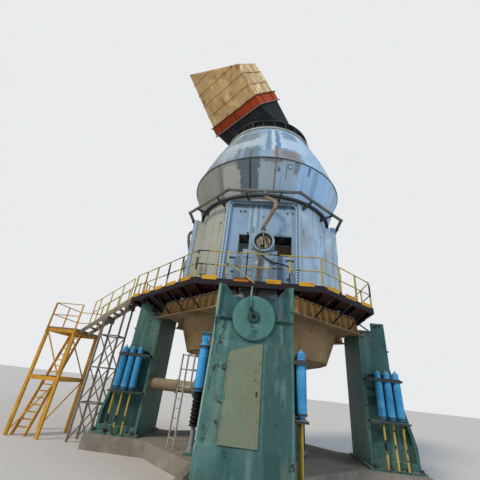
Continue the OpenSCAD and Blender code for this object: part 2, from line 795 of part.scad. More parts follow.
module ring_brackets() {
    turn = 11.5;
    reach = ring_in / cos(turn);
    seat = ring_z - ring_pipe_r - small;
    color("#3b3d3c") for (i = [0 : 7], s = [-1, 1]) rotate(i * 45 + s * turn)
        slab_x(0, 70, [[-(casing_r + small), seat - 220], [-(reach + 60), seat - 60],
            [-(reach + 60), seat], [-(casing_r + small), seat]]);
}

// Route of a seal air hose from the ring pipe down to the hub: shares of its swing, of its bulge
// and of its height
hose_route = [[0, 0, 1], [0, 0, 0.95], [0.44, 0.3, 0.87], [0.91, 0.65, 0.77], [1, 1, 0.64],
    [0.79, 1, 0.48], [0.44, 0.75, 0.28], [0.1, 0.28, 0.13], [0, 0, 0.05], [0, 0, 0]];
hub_spigot_y = panel_plane + 380;
hub_spigot_h = 175;
hose_top = ring_z - spigot_h - 30 - small;
hose_low = hub_z + hub_r - 60 + hub_spigot_h + small;
function on_route(p) = [hose_x + hose_swing * p[0],
    -(hub_spigot_y + (ring_in - hub_spigot_y) * p[2]) - hose_bulge * p[1],
    hose_low + (hose_top - hose_low) * p[2]];
module seal_air_hoses() {
    path = smooth([for (p = hose_route) on_route(p)], 3);
    color("#8b7355") for (turn = SIDES) rotate(turn) sweep(path, hose_r);
}

// Corners of the deck, from the front edge round to the stair side
deck_plan = [[-deck_side, -deck_reach], [deck_side, -deck_reach], [deck_reach, -deck_side],
    [deck_reach, deck_side], [deck_side, deck_reach], [-deck_side, deck_reach],
    [-stair_reach, deck_side + deck_reach - stair_reach],
    [-stair_reach, -(deck_side + deck_reach - stair_reach)]];

module deck_opening(gap) {
    circle(casing_r + gap);
    for (a = SIDES) rotate(a) translate([-(door_w + gap), -(door_face + gap)])
        square([2 * (door_w + gap), door_face + gap]);
    for (a = SIDES) rotate(a) translate([-(lever_w / 2 + gap), -(panel_plane + lever_d + gap)])
        square([lever_w + 2 * gap, panel_plane + lever_d + gap]);
}

// The place of a point a given way along an edge of the deck, moved inward
function deck_edge(i, t, inset) =
    let (a = deck_plan[i], b = deck_plan[(i + 1) % len(deck_plan)], d = (b - a) / norm(b - a))
    a + (b - a) * t + inset * [-d[1], d[0]];

joist_w = 60;
joist_step = deck_reach / 6.15;
module platform_deck() {
    color("#5a2f28") union() {
        translate([0, 0, deck_z - deck_t]) linear_extrude(deck_t) difference() {
            polygon(deck_plan);
            deck_opening(10);
        }
        // edge beams and floor joists
        translate([0, 0, deck_z - deck_t - beam_d]) linear_extrude(beam_d + 1) difference() {
            intersection() {
                polygon(deck_plan);
                union() {
                    difference() {
                        polygon(deck_plan);
                        polygon([for (a = deck_plan) a * (1 - beam_w / deck_reach)]);
                    }
                    for (x = [-7 : 5]) translate([x * joist_step, -deck_reach])
                        square([joist_w, 2 * deck_reach]);
                }
            }
            circle(casing_r + 210);
            deck_opening(30);
        }
    }
}

// A strut from a foot up to the edge beam, with a foot and a head plate
module deck_strut(foot, head, out, low) {
    high = deck_z - deck_t - beam_d - small;
    turn = atan2(out[1], out[0]);
    translate([foot[0], foot[1], low]) rotate(turn) translate([-50, -60, 0]) cube([100, 120, 40]);
    translate([head[0], head[1], high - 30]) rotate(turn) translate([-70, -50, 0]) cube([140, 100, 30]);
    bar([foot[0], foot[1], low + 20], [head[0], head[1], high - 12], 64, 6);
}

// On a straight edge a strut stands on the base flange, in line with the mill axis
module flange_strut(i, t) {
    head = deck_edge(i, t, beam_w / 2);
    out = head / norm(head);
    deck_strut(out * (base_flange_r - 130), head, out, flange_z + small);
}

// On a slanting edge it stands on the lip of the tie beam, a share of the beam's half length aside
slant_r = (deck_side + deck_reach) / sqrt(2);
module tie_strut(sx, sy, share) {
    out = [sx, sy] / sqrt(2);
    foot_r = tie_r - tie_lip / 2;
    aside = [1, -sx * sy] / sqrt(2) * share * (foot_r - tie_corner - 120);
    deck_strut(out * foot_r + aside, out * (slant_r - beam_w / 2) + aside, out, tie_z + tie_t + small);
}

module platform_struts() {
    color("#3a2724") {
        for (i = [0, 2, 4], t = [0.28, 0.5, 0.72]) union() flange_strut(i, t);
        for (sy = [-1, 1], share = [-0.5, 0, 0.5]) union() tie_strut(1, sy, share);
        for (sy = [-1, 1], share = [-1, -0.5, 0, 0.5]) union() tie_strut(-1, sy, share);
        // packers on the horn of the stand under the stair side
        x = -7 * joist_step + joist_w / 2;
        for (s = [-1, 1]) translate([x, s * (stand_w / 2 - edge_w / 2), horn_top + small])
            translate([-70, -45, 0]) cube([140, 90, horn_gap - 2 * small]);
    }
}

// Toe plates on the outer side of the edge beams, one between each pair of posts
module toe_plates() {
    color("#c79a2a") for (i = [0 : len(deck_plan) - 1]) if (i != 6) {
        a = deck_plan[i];
        b = deck_plan[(i + 1) % 8];
        bay = norm(b - a) / edge_bays(i);
        share = i == 0 ? 0.46 : 0.62;
        translate([a[0], a[1], deck_z - deck_t]) rotate(atan2(b[1] - a[1], b[0] - a[0]))
            for (k = [0 : edge_bays(i) - 1])
                translate([bay * (k + (1 - share) / 2), -toe_t - small, 0])
                    cube([bay * share, toe_t, toe_h]);
    }
}
toe_t = 12;
function edge_bays(i) = i == 0 || i == 2 || i == 4 ? 4 : (i == 5 || i == 7 ? 5 : 3);

// Rail panel on one edge: posts from p on and two rails that end short of q's post
module edge_rail(p, q, bays, skip = -1, last = 1) {
    d = (q - p) / norm(q - p);
    end = q - d * (last == 1 ? post_w * 0.8 : 0);
    union() {
        for (i = [0 : bays - last]) if (i != skip) {
            at = p + (q - p) * i / bays;
            translate([at[0], at[1], deck_z + small]) rotate(atan2(d[1], d[0]))
                translate([-post_w / 2, -post_w / 2, 0]) cube([post_w, post_w, rail_h - 10]);
        }
        for (z = [rail_h, rail_h / 2])
            bar([p[0], p[1], deck_z + z], [end[0], end[1], deck_z + z], 46, 8);
    }
}

// Corner of the rails, set in from a corner of the deck
rail_inset = 65;
loose_x = -950;
function rail_corner(i) = let (a = deck_plan[i % 8]) a * (norm(a) - rail_inset) / norm(a);
module platform_rails() {
    color("#d8b83c") {
        // the front rail lacks its middle post, and a loose length hangs out over the deck's edge
        union() {
            edge_rail(rail_corner(0), rail_corner(1), edge_bays(0), 2);
            bar([loose_x, rail_corner(0)[1], deck_z + rail_h / 2],
                [loose_x + 860, rail_corner(0)[1] - 200, deck_z - 130], 40, 8);
        }
        for (i = [1 : 5]) edge_rail(rail_corner(i), rail_corner(i + 1), edge_bays(i));
        edge_rail(rail_corner(7), rail_corner(0), edge_bays(7));
        // the stair side is open over the width of the flight
        edge_rail(rail_corner(6), [rail_corner(6)[0], flight_y + flight_w + 40], 2, -1, 0);
    }
}

// Upper stair flight, from the platform down to the landing
flight_y = -820;
flight_run = landing_x - stair_reach;
flight_rise = deck_z - landing_z;
going = flight_run / risers;
rise = flight_rise / risers;
stringer_t = 40;

stringer_outline = [[-stair_reach - small, deck_z - 20], [-stair_reach - small, deck_z - 270],
    [-landing_x + small, landing_z - 250], [-landing_x + small, landing_z],
    [-landing_x + 60, landing_z + 20]];
module stringer(y) {
    translate([0, y + stringer_t, 0]) rotate([90, 0, 0]) linear_extrude(stringer_t)
        polygon(stringer_outline);
}

module stair_flight() {
    color("#8c8478") union() {
        stringer(flight_y);
        stringer(flight_y + flight_w - stringer_t);
        for (i = [1 : risers - 1])
            block([-stair_reach - i * going - 20, flight_y + 5, deck_z - i * rise - 40],
                [-stair_reach - (i - 1) * going - 25, flight_y + flight_w - 5, deck_z - i * rise]);
    }
}

module stair_rails() {
    color("#d8b83c") for (y = [flight_y + stringer_t / 2, flight_y + flight_w - stringer_t / 2]) {
        union() {
            difference() {
                for (i = [1, 3, 5, 7, 8]) {
                    x = -stair_reach - (i - 0.5) * going;
                    translate([x - 22, y - 18, deck_z - (i - 0.5) * rise - 60])
                        cube([44, 36, rail_h + 54]);
                }
                translate([0, y + 30, small]) rotate([90, 0, 0]) linear_extrude(60)
                    polygon(stringer_outline);
            }
            for (h = [rail_h, rail_h / 2])
                bar([-stair_reach - 0.5 * going, y, deck_z - 0.5 * rise + h - 30],
                    [-stair_reach - (risers - 1.5) * going, y, deck_z - (risers - 1.5) * rise + h - 30],
                    42, 8);
        }
    }
}

// Landing and its tower
tower_x0 = -landing_x;
tower_x1 = -(landing_x + landing_l);
steep_w = 620;
module stair_landing() {
    color("#b9a03c") difference() {
        block([tower_x1, -landing_w, landing_z - 50], [tower_x0, landing_w, landing_z]);
        block([tower_x1 + 130, -landing_w + 150, landing_z - 60],
            [tower_x1 + 130 + steep_w + 40, landing_w - 250, landing_z + 10]);
    }
}

// Tower of two end frames, cross beams between them, and a guard rail
module tower_frame() {
    top = landing_z - 50 - small;
    y = landing_w - column_w / 2;
    rail_y = landing_w + 24;
    union() {
        for (x = [tower_x1, tower_x0 - column_w])
            block([x, landing_w - column_w, 0], [x + column_w, landing_w, top]);
        for (z = [top - 160, top / 2 - 60])
            block([tower_x1 + 10, y - 40, z], [tower_x0 - 10, y + 40, z + 160]);
        bar([tower_x1 + 60, y, 120], [tower_x0 - 60, y, top / 2 - 30], 60, 6);
        bar([tower_x0 - 60, y, top / 2 + 60], [tower_x1 + 60, y, top - 100], 60, 6);
        for (x = [tower_x1 + 40, tower_x0 - 40]) {
            translate([x - 24, rail_y - 24, top - 200]) cube([48, 48, rail_h + 240]);
            block([x - 24, landing_w - 20, top - 150], [x + 24, landing_w + 20, top - 100]);
        }
        for (z = [rail_h, rail_h / 2])
            bar([tower_x1 + 40, rail_y, landing_z + z], [tower_x0 - 40, rail_y, landing_z + z], 42, 8);
    }
}

module stair_tower() {
    top = landing_z - 50 - small;
    inner = landing_w - column_w - small;
    rail_half = landing_w - 20;
    color("#d3a92c") {
        tower_frame();
        mirror([0, 1, 0]) tower_frame();
        for (x = [tower_x1, tower_x0 - column_w], z = [top - 160, top / 2 - 60])
            block([x + 20, -inner, z], [x + column_w - 20, inner, z + 160]);
        // guard rail on the landing's far side, seated on the landing
        union() {
            for (y = [-rail_half, 0, rail_half])
                translate([tower_x1 + 16, y - 24, landing_z + small]) cube([48, 48, rail_h]);
            for (z = [rail_h, rail_h / 2]) bar([tower_x1 + 40, -rail_half, landing_z + z],
                [tower_x1 + 40, rail_half, landing_z + z], 42, 8);
        }
    }
}

// Steep flight down through the landing's hatch to the ground
module steep_flight() {
    x0 = tower_x1 + 150;
    y_top = landing_w - 280;
    y_low = -landing_w + 200;
    top = landing_z - 60;
    color("#cf9d2b") union() {
        for (x = [x0, x0 + steep_w - 40]) translate([x, 0, 0]) rotate([90, 0, 90]) linear_extrude(40)
            polygon([[y_low, 0], [y_low + 180, 0], [y_top, top], [y_top - 180, top]]);
        for (i = [1 : steep_risers - 1]) let (t = i / steep_risers)
            block([x0 + 10, y_low + (y_top - 180 - y_low) * t + 10, top * t],
                [x0 + steep_w - 10, y_low + (y_top - 180 - y_low) * t + 190, top * t + 36]);
        // head of the flight hangs on the tower's top beam
        block([x0 + 10, y_top - 120, top - 50],
            [x0 + steep_w - 10, landing_w - column_w / 2 - 40 - small, top - 10]);
    }
}

// Lattice trestle under the stair, beyond the foundation
trestle_near = max(stair_reach, foundation_out) + 150;
trestle_x = [-trestle_near, -(trestle_near + trestle_step)];
trestle_y = [flight_y + 30, flight_y + flight_w - 30];
function stringer_low(x) = deck_z - 270
    - (-x - stair_reach) * (deck_z - 270 - landing_z + 250) / flight_run;
module stair_trestle() {
    d = trestle_leg;
    cap = 60;
    low = stringer_low(trestle_x[1] - d) - cap;
    bays = 3;
    step = (low - 600) / bays;
    color("#8f8f8a") union() {
        for (x = trestle_x, y = trestle_y)
            bar([x, y, 0], [x, y, stringer_low(x - d) - cap + 20], d, 6);
        for (x = trestle_x) slab_x_cap(x, d, cap);
        for (k = [1 : bays]) {
            for (x = trestle_x) bar([x, trestle_y[0], k * step], [x, trestle_y[1], k * step], 64, 6);
            for (y = trestle_y) {
                bar([trestle_x[0], y, k * step], [trestle_x[1], y, k * step], 64, 6);
                bar([trestle_x[0], y, (k - 1) * step + 60], [trestle_x[1], y, k * step], 54, 6);
                bar([trestle_x[1], y, (k - 1) * step + 60], [trestle_x[0], y, k * step], 54, 6);
            }
        }
    }
}

// Cap beam whose top follows the slope of the stringers
module slab_x_cap(x, d, cap) {
    translate([0, flight_y + flight_w, 0]) rotate([90, 0, 0]) linear_extrude(flight_w)
        polygon([[x - d, stringer_low(x - d) - cap], [x + d, stringer_low(x - d) - cap],
            [x + d, stringer_low(x + d) - small], [x - d, stringer_low(x - d) - small]]);
}

lube_z = 2380;
lube_y = -900;
lube_r = 225;
module lube_pipe() {
    length = stand_in - gear_r - 400 - 2 * small;
    color("#93805f") translate([-(stand_in - small), lube_y, lube_z]) rotate([0, 90, 0]) {
        cylinder(r = lube_r, h = length);
        cylinder(r = lube_r + 85, h = 60);
        translate([0, 0, 1150]) cylinder(r = lube_r + 40, h = 90);
        translate([0, 0, length - 60]) cylinder(r = lube_r + 85, h = 60);
    }
}

// Ladder to a small gallery at the gear unit, between the front and left stands
gallery_z = foundation_h + gallery_rise;
gallery_in = gear_r + 170 + small;
ladder_y = gallery_in + gallery_d + 25;
module access_ladder() {
    tube = 50;
    near = gallery_w / 2 - tube / 2;
    stile = [-near, ladder_w - near];
    color("#b8b6ae") rotate(-45) {
        block([-gallery_w / 2, -(ladder_y - 25), gallery_z - 50], [gallery_w / 2, -gallery_in, gallery_z]);
        for (x = stile) block([x - tube / 2, -(ladder_y + 25), foundation_h + small],
            [x + tube / 2, -(ladder_y - 25), gallery_z + rail_h]);
        rungs = floor(gallery_rise / 300);
        for (k = [1 : rungs]) bar([stile[0], -ladder_y, foundation_h + 300 * k],
            [stile[1], -ladder_y, foundation_h + 300 * k], 34, 8);
        // guard rails on the gallery's front and two sides
        block([near - tube / 2, -ladder_y, gallery_z - tube], [near + tube / 2, -(ladder_y - tube),
            gallery_z + rail_h]);
        for (z = [rail_h - 30, rail_h / 2]) {
            bar([near, -(ladder_y - 25), gallery_z + z], [stile[1], -(ladder_y - 25), gallery_z + z], 40, 8);
            for (x = [stile[0], near])
                bar([x, -(ladder_y - 25), gallery_z + z], [x, -(gallery_in + 60), gallery_z + z], 40, 8);
        }
        for (x = [stile[0], near]) block([x - tube / 2, -(gallery_in + 85), gallery_z - 10],
            [x + tube / 2, -(gallery_in + 35), gallery_z + rail_h]);
    }
}

foundation_block();
rotate(FRONT) stand(bottle_flank(FRONT));  // stand_front
rotate(LEFT) stand(bottle_flank(LEFT));  // stand_left
rotate(RIGHT) stand(bottle_flank(RIGHT));  // stand_right
rotate(BACK) stand(bottle_flank(BACK));  // stand_back
bearing_covers();
inspection_panels();
pull_cylinders();
accumulator_bottles();
accumulator_brackets();
hydraulic_pipes();
gear_unit();
lower_housing();
base_ring();
casing_shell();
service_door(FRONT);  // door_front
service_door(LEFT);  // door_left
service_door(RIGHT);  // door_right
service_door(BACK);  // door_back
hub_tubes();
hub_caps();
casing_flange();
separator_band();
girth_flange();
separator_cone();
curb_ring();
neck_drum();
outlet_head();
outlet_hood();
expansion_frame();
clad_duct();
seal_air_ring();
ring_brackets();
seal_air_hoses();
platform_deck();
platform_struts();
toe_plates();
platform_rails();
stair_flight();
stair_rails();
stair_landing();
stair_tower();
steep_flight();
stair_trestle();
lube_pipe();
access_ladder();
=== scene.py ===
"""Looks of a vertical roller mill: a finish for every CAD piece, and the bolts, seams, hoses,
cladding and small fittings that the solids leave out.

Lengths are metres in the CAD's frame: +Z up along the mill axis, the front door towards -Y."""

import math

import bpy
import numpy as np
from mathutils import Matrix, Vector


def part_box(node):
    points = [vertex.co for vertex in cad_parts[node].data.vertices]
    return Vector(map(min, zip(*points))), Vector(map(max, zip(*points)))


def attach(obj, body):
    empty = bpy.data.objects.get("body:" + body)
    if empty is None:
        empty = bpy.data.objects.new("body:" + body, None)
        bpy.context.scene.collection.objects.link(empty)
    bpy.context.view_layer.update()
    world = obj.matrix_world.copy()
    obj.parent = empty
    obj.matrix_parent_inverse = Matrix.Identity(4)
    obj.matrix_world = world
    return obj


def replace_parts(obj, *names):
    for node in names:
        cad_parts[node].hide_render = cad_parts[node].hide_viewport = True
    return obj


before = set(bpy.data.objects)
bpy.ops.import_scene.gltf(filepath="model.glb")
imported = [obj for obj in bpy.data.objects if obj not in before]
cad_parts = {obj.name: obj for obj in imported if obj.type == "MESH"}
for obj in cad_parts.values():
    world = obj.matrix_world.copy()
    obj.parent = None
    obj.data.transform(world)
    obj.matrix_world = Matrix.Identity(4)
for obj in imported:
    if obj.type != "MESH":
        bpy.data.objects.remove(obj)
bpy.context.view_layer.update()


def low(node):
    """Height of a CAD node's underside."""
    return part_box(node)[0][2]


def top(node):
    """Height of a CAD node's top."""
    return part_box(node)[1][2]


# Radii and levels of the mill, from the CAD where a box gives them
CASING_R = 3.56
DOOR_PLANE = CASING_R + 0.01
PANEL_PLANE = DOOR_PLANE + 0.05
DOOR_FACE = -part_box("door_front")[0][1]
DOOR_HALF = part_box("door_front")[1][0]
DOOR_TOP = top("door_front")
DECK_Z = top("platform_deck")
FLANGE_Z = low("casing_shell")
CASING_TOP = top("casing_shell")
BAND_LOW, BAND_TOP = low("separator_band"), top("separator_band")
BAND_LOW_R = CASING_R + 0.1
GIRTH_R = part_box("separator_band")[1][0]
CONE_LOW, CONE_TOP = low("separator_cone"), top("separator_cone")
CONE_TOP_R = 2.80
CONE_BELLY = 0.12
NECK_TOP = top("neck_drum")
NECK_R = 2.48
HUB_X, HUB_Z = 0.12, DECK_Z + 1.99
HUB_R = 0.485
HUB_FACE = -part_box("hub_tubes")[0][1]
STAND_OUT = 5.65
FOOT_OUT = 6.25
COVER_Z = (low("bearing_covers") + top("bearing_covers")) / 2
COVER_FACE = STAND_OUT + 0.09
RING_Z = top("seal_air_ring") - 0.102
RING_IN = CASING_R + 0.54
SIDES = (0, 90, 180, 270)


def linear(hexa):
    """An sRGB hex colour as linear RGBA."""
    parts = [int(hexa[i:i + 2], 16) / 255 for i in (1, 3, 5)]
    return [c / 12.92 if c <= 0.04045 else ((c + 0.055) / 1.055) ** 2.4 for c in parts] + [1.0]


# Shader helpers

def add(tree, kind, inputs=None, **settings):
    """A shader node with its settings, its values, and links from sockets."""
    node = tree.nodes.new("ShaderNode" + kind)
    for key, value in settings.items():
        setattr(node, key, value)
    for key, value in (inputs or {}).items():
        if isinstance(value, bpy.types.NodeSocket):
            tree.links.new(value, node.inputs[key])
        else:
            node.inputs[key].default_value = value
    return node


def math_node(tree, operation, a, b=0.0, clamp=False):
    return add(tree, "Math", {0: a, 1: b}, operation=operation, use_clamp=clamp).outputs[0]


def vector(tree, operation, a, b, out=0):
    return add(tree, "VectorMath", {0: a, 1: b}, operation=operation).outputs[out]


def scaled(tree, a, factor):
    return add(tree, "VectorMath", {0: a, "Scale": factor}, operation="SCALE").outputs[0]


def part(tree, a, axis):
    """One coordinate of a vector."""
    return add(tree, "SeparateXYZ", {0: a}).outputs[axis]


def ramp(tree, value, start, end, low_end=0.0, high_end=1.0):
    """From low_end at start to high_end at end, and level beyond both."""
    return add(tree, "MapRange", {0: value, 1: start, 2: end, 3: low_end, 4: high_end}).outputs[0]


def mix(tree, factor, a, b):
    """Colour a where factor is 0 and b where it is 1."""
    return add(tree, "Mix", {0: factor, 6: a, 7: b}, data_type="RGBA").outputs[2]


def place(tree, stretch=1.0, round_body=0.0):
    """Object coordinates with Z scaled. With round_body, X and Y are pushed out to that radius,
    so that a pattern runs down a cone as it does down a cylinder."""
    co = add(tree, "TexCoord").outputs["Object"]
    parts = add(tree, "SeparateXYZ", {0: co}).outputs
    flat = add(tree, "CombineXYZ", {0: parts[0], 1: parts[1]}).outputs[0]
    if round_body:
        unit = add(tree, "VectorMath", {0: flat}, operation="NORMALIZE").outputs[0]
        flat = scaled(tree, unit, round_body)
    height = math_node(tree, "MULTIPLY", parts[2], stretch)
    rise = add(tree, "CombineXYZ", {2: height}).outputs[0]
    return vector(tree, "ADD", flat, rise)


def blotch(tree, place_at, scale, start, end, detail=5.0, rough=0.62):
    """Noise as a mask: 0 below start and 1 above end."""
    noise = add(tree, "TexNoise", {"Vector": place_at, "Scale": scale, "Detail": detail,
                                   "Roughness": rough}).outputs[0]
    return ramp(tree, noise, start, end)


def dampen(tree, mask, amount):
    return math_node(tree, "MULTIPLY", mask, amount)


def side_frame(tree, fold, radius):
    """Object coordinates as seen from a side of the mill, so that a mark is repeated round it.
    Fold 4 turns each of the four sides to the front: across, outward, up. Fold 2 takes the two
    halves of a round body: the arc from its middle in metres at the radius, 0, up."""
    x, y, z = add(tree, "SeparateXYZ", {0: add(tree, "TexCoord").outputs["Object"]}).outputs
    wide, deep = math_node(tree, "ABSOLUTE", x), math_node(tree, "ABSOLUTE", y)
    backward = math_node(tree, "MULTIPLY", math_node(tree, "SIGN", y), -1.0)
    facing = math_node(tree, "MULTIPLY", x, backward)
    if fold == 2:
        angle = math_node(tree, "ARCTAN2", facing, deep)
        arc = math_node(tree, "MULTIPLY", angle, radius)
        return add(tree, "CombineXYZ", {0: arc, 2: z}).outputs[0]
    flank = math_node(tree, "MULTIPLY", y, math_node(tree, "SIGN", x))
    front = math_node(tree, "GREATER_THAN", deep, wide)
    across_it = add(tree, "Mix", {0: front, 2: flank, 3: facing}).outputs[0]
    return add(tree, "CombineXYZ", {0: across_it, 1: math_node(tree, "MAXIMUM", wide, deep),
                                    2: z}).outputs[0]


# How far noise moves the line between the painted lit and shaded sides round the mill,
# and by how much on average
WOBBLE, WOBBLE_MEAN = 0.35, 0.17


def finish(name, colour, tones=(), streaks=(), chips=(), dust=None, rough=0.5, metal=0.0,
           grain=0.25, grain_scale=9.0, round_body=0.0, layers=(), painted_light_sides=(), upright=None,
           fold=4, marks=(), shine=0.25):
    """A weathered finish.
    tones: (colour, scale, start, end, amount) clouds of another tone.
    streaks: (colour, scale, stretch, start, end, amount) runs down the surface.
    chips: (colour, scale, start, end) hard-edged spots.
    layers: (colour, point, axis, start, end) another colour from start to end along the axis.
    turns: (colour, start, end, amount) painted light and shade by side: a tone that grows with
    the share of x in the direction.
    upright: (colour, amount) painted shade on what faces sideways.
    marks: (colour, middle, half size, raggedness, amount) single patches of paint, rust and dirt,
    and of painted shade and painted light, in the side's frame: inside where the fourth powers of
    the three shares of the half size add up to less than one, with the place moved by noise so that
    the edge is ragged.
    dust: (colour, amount) on what faces up.
    shine: the strength of the reflection at right angles."""
    made = bpy.data.materials.new(name)
    made.use_nodes = True
    tree = made.node_tree
    shader = tree.nodes["Principled BSDF"]
    even = place(tree, 1.0, round_body)
    tone = linear(colour)

    def lay(mask, amount, shade):
        """The tone so far, with the share of a colour that the mask and the amount give."""
        return mix(tree, dampen(tree, mask, amount), tone, linear(shade))

    # Painted light and shade by side: the tone follows the share of x in the direction
    for shade, start, end, amount in painted_light_sides:
        side = part(tree, place(tree, 1.0, 1.0), 0)
        wobble = add(tree, "TexNoise", {"Vector": even, "Scale": 0.7, "Detail": 3.0}).outputs[0]
        side = math_node(tree, "ADD", side, dampen(tree, wobble, WOBBLE))
        tone = lay(ramp(tree, side, start + WOBBLE_MEAN, end + WOBBLE_MEAN), amount, shade)
    for shade, scale, start, end, amount in tones:
        tone = lay(blotch(tree, even, scale, start, end), amount, shade)
    if upright:
        up = part(tree, add(tree, "NewGeometry").outputs["Normal"], 2)
        lean = math_node(tree, "ABSOLUTE", up)
        tone = lay(ramp(tree, lean, 0.7, 0.4), upright[1], upright[0])
    if marks:
        seen = side_frame(tree, fold, round_body)
        ragged = add(tree, "TexNoise", {"Vector": even, "Scale": 3.6, "Detail": 8.0,
                                        "Roughness": 0.8}).outputs["Color"]
        ragged = vector(tree, "SUBTRACT", ragged, (0.5, 0.5, 0.5))
    for shade, middle, half, rag, amount in marks:
        moved = add(tree, "VectorMath", {0: ragged, 1: (rag, rag, rag), 2: seen},
                    operation="MULTIPLY_ADD").outputs[0]
        apart = vector(tree, "DIVIDE", vector(tree, "SUBTRACT", moved, middle), half)
        square = vector(tree, "MULTIPLY", apart, apart)
        fourth = vector(tree, "DOT_PRODUCT", square, square, "Value")
        tone = lay(ramp(tree, fourth, 1.15, 0.9), amount, shade)
    for shade, scale, stretch, start, end, amount in streaks:
        runs = blotch(tree, place(tree, stretch, round_body), scale, start, end, 4.0)
        tone = lay(runs, amount, shade)
    for shade, scale, start, end in chips:
        tone = mix(tree, blotch(tree, even, scale, start, end, 8.0, 0.7), tone, linear(shade))
    for shade, point, axis, start, end in layers:
        away = vector(tree, "SUBTRACT", add(tree, "TexCoord").outputs["Object"], point)
        level = vector(tree, "DOT_PRODUCT", away, axis, "Value")
        tone = mix(tree, ramp(tree, level, start, end), tone, linear(shade))
    if dust:
        up = part(tree, add(tree, "NewGeometry").outputs["Normal"], 2)
        settled = math_node(tree, "MULTIPLY", ramp(tree, up, 0.35, 0.95),
                            blotch(tree, even, 2.1, 0.25, 0.6))
        tone = lay(settled, dust[1], dust[0])
    fine = add(tree, "TexNoise", {"Vector": even, "Scale": grain_scale, "Detail": 7.0,
                                  "Roughness": 0.65}).outputs[0]
    speck = ramp(tree, fine, 0.3, 0.7, 0.93, 1.06)
    tree.links.new(scaled(tree, tone, speck), shader.inputs["Base Color"])
    gloss = ramp(tree, fine, 0.25, 0.75, rough - 0.09, rough + 0.12)
    tree.links.new(gloss, shader.inputs["Roughness"])
    shader.inputs["Metallic"].default_value = metal
    shader.inputs["Specular IOR Level"].default_value = shine
    bump = add(tree, "Bump", {"Height": fine, "Strength": grain, "Distance": 0.02})
    tree.links.new(bump.outputs[0], shader.inputs["Normal"])
    return made


def patches(radius, rows):
    """Marks on a round body, from rows of (colour, first and last angle in degrees, lower and upper
    height, raggedness, amount)."""
    return [(shade, (math.radians(a + b) / 2 * radius, 0, (c + d) / 2),
             (math.radians(b - a) / 2 * radius, 9, (d - c) / 2), rag, amount)
            for shade, a, b, c, d, rag, amount in rows]


def spots(rows):
    """Marks on the four sides, from rows of (colour, x from and to, z from and to, raggedness,
    amount)."""
    return [(shade, ((a + b) / 2, 4, (c + d) / 2), ((b - a) / 2, 3, (d - c) / 2), rag, amount)
            for shade, a, b, c, d, rag, amount in rows]


# Finishes
RUST, DARK_RUST = "#8a4a2b", "#4e2f22"
DUST = "#b3a58c"
stand_paint = finish(
    "sea_green_paint", "#446d67",
    tones=(("#3b5f5b", 0.5, 0.42, 0.62, 0.8), ("#648683", 1.3, 0.5, 0.7, 0.6)),
    marks=spots((
        # Painted shade: the first three darken the recess above the ledge, most under the top plate
        # and on the right
        ("#2c6068", -1.12, 1.12, 4.53, 5.8, 0.06, 0.65),
        ("#16363b", -1.12, 1.12, 5.25, 5.8, 0.3, 0.6),
        ("#123a44", 0.1, 1.12, 4.53, 5.8, 0.05, 0.5),
        # Painted shade: the ledge's face dark
        ("#0f201f", -1.23, 1.23, 4.46, 4.515, 0.01, 0.85),
        # Painted shade on the side flange's edge at the left
        ("#1d423f", -1.24, -1.14, 3.3, 4.46, 0.04, 0.7),
        ("#2c4f50", 0.42, 1.21, 0.4, 4.3, 0.2, 0.8),
        # Painted shadow: the second mark here darkens the band under the ledge
        ("#35595c", -0.1, 0.6, 3.75, 4.2, 0.2, 0.5), ("#284e4e", -1.16, 1.16, 4.2, 4.5, 0.35, 0.65),
        ("#6f968f", -1.06, -0.93, 3.8, 4.42, 0.3, 0.5),
        ("#2a4f4d", -0.95, -0.86, 3.8, 4.46, 0.12, 0.7),
        ("#6f968f", -0.88, -0.74, 3.6, 4.38, 0.6, 0.45), ("#648a84", 0.8, 0.93, 3.8, 4.4, 0.6, 0.4),
        ("#22454a", 0.94, 1.02, 3.7, 4.46, 0.12, 0.7),
        ("#2a5053", 0.72, 0.82, 3.9, 4.46, 0.12, 0.6),
        ("#24413f", -1.14, -1.09, 2.45, 2.8, 0.12, 0.85),
        ("#24413f", -1.15, -1.1, 3.0, 3.1, 0.1, 0.8),
        ("#17211f", -1.02, -0.9, 3.7, 3.78, 0.02, 0.85),
        ("#17211f", -1.03, -0.98, 3.68, 3.98, 0.02, 0.9),
        ("#2a4a47", -0.72, -0.66, 3.52, 3.59, 0.04, 0.8),
        # Painted highlights: the next two are the lit left edge of the front plate, below and above
        # the ledge
        ("#9dbaa8", -1.253, -1.21, 1.0, 4.46, 0.008, 0.6),
        ("#a5bfae", -1.253, -1.2, 4.55, 5.6, 0.008, 0.6),
        ("#20403d", -1.15, -1.0, 1.3, 1.75, 0.5, 0.6),
        ("#2b4f4a", -1.1, -1.02, 3.4, 3.7, 0.2, 0.7))) + [
            # Painted light: a lighter strip on the inner face, which stands in shadow under the
            # mill
            ("#5f9080", (0, 4.46, 3), (1.4, 0.05, 2.9), 0.01, 0.85)],
    streaks=(("#2c4a48", 2.3, 0.12, 0.52, 0.7, 0.6), ("#7f9d99", 3.1, 0.1, 0.55, 0.72, 0.4),
             (DUST, 1.4, 0.15, 0.56, 0.75, 0.22)),
    chips=(("#1d312f", 3.4, 0.62, 0.635), ("#7b4b32", 5.5, 0.675, 0.69)),
    dust=(DUST, 0.8), rough=0.48)
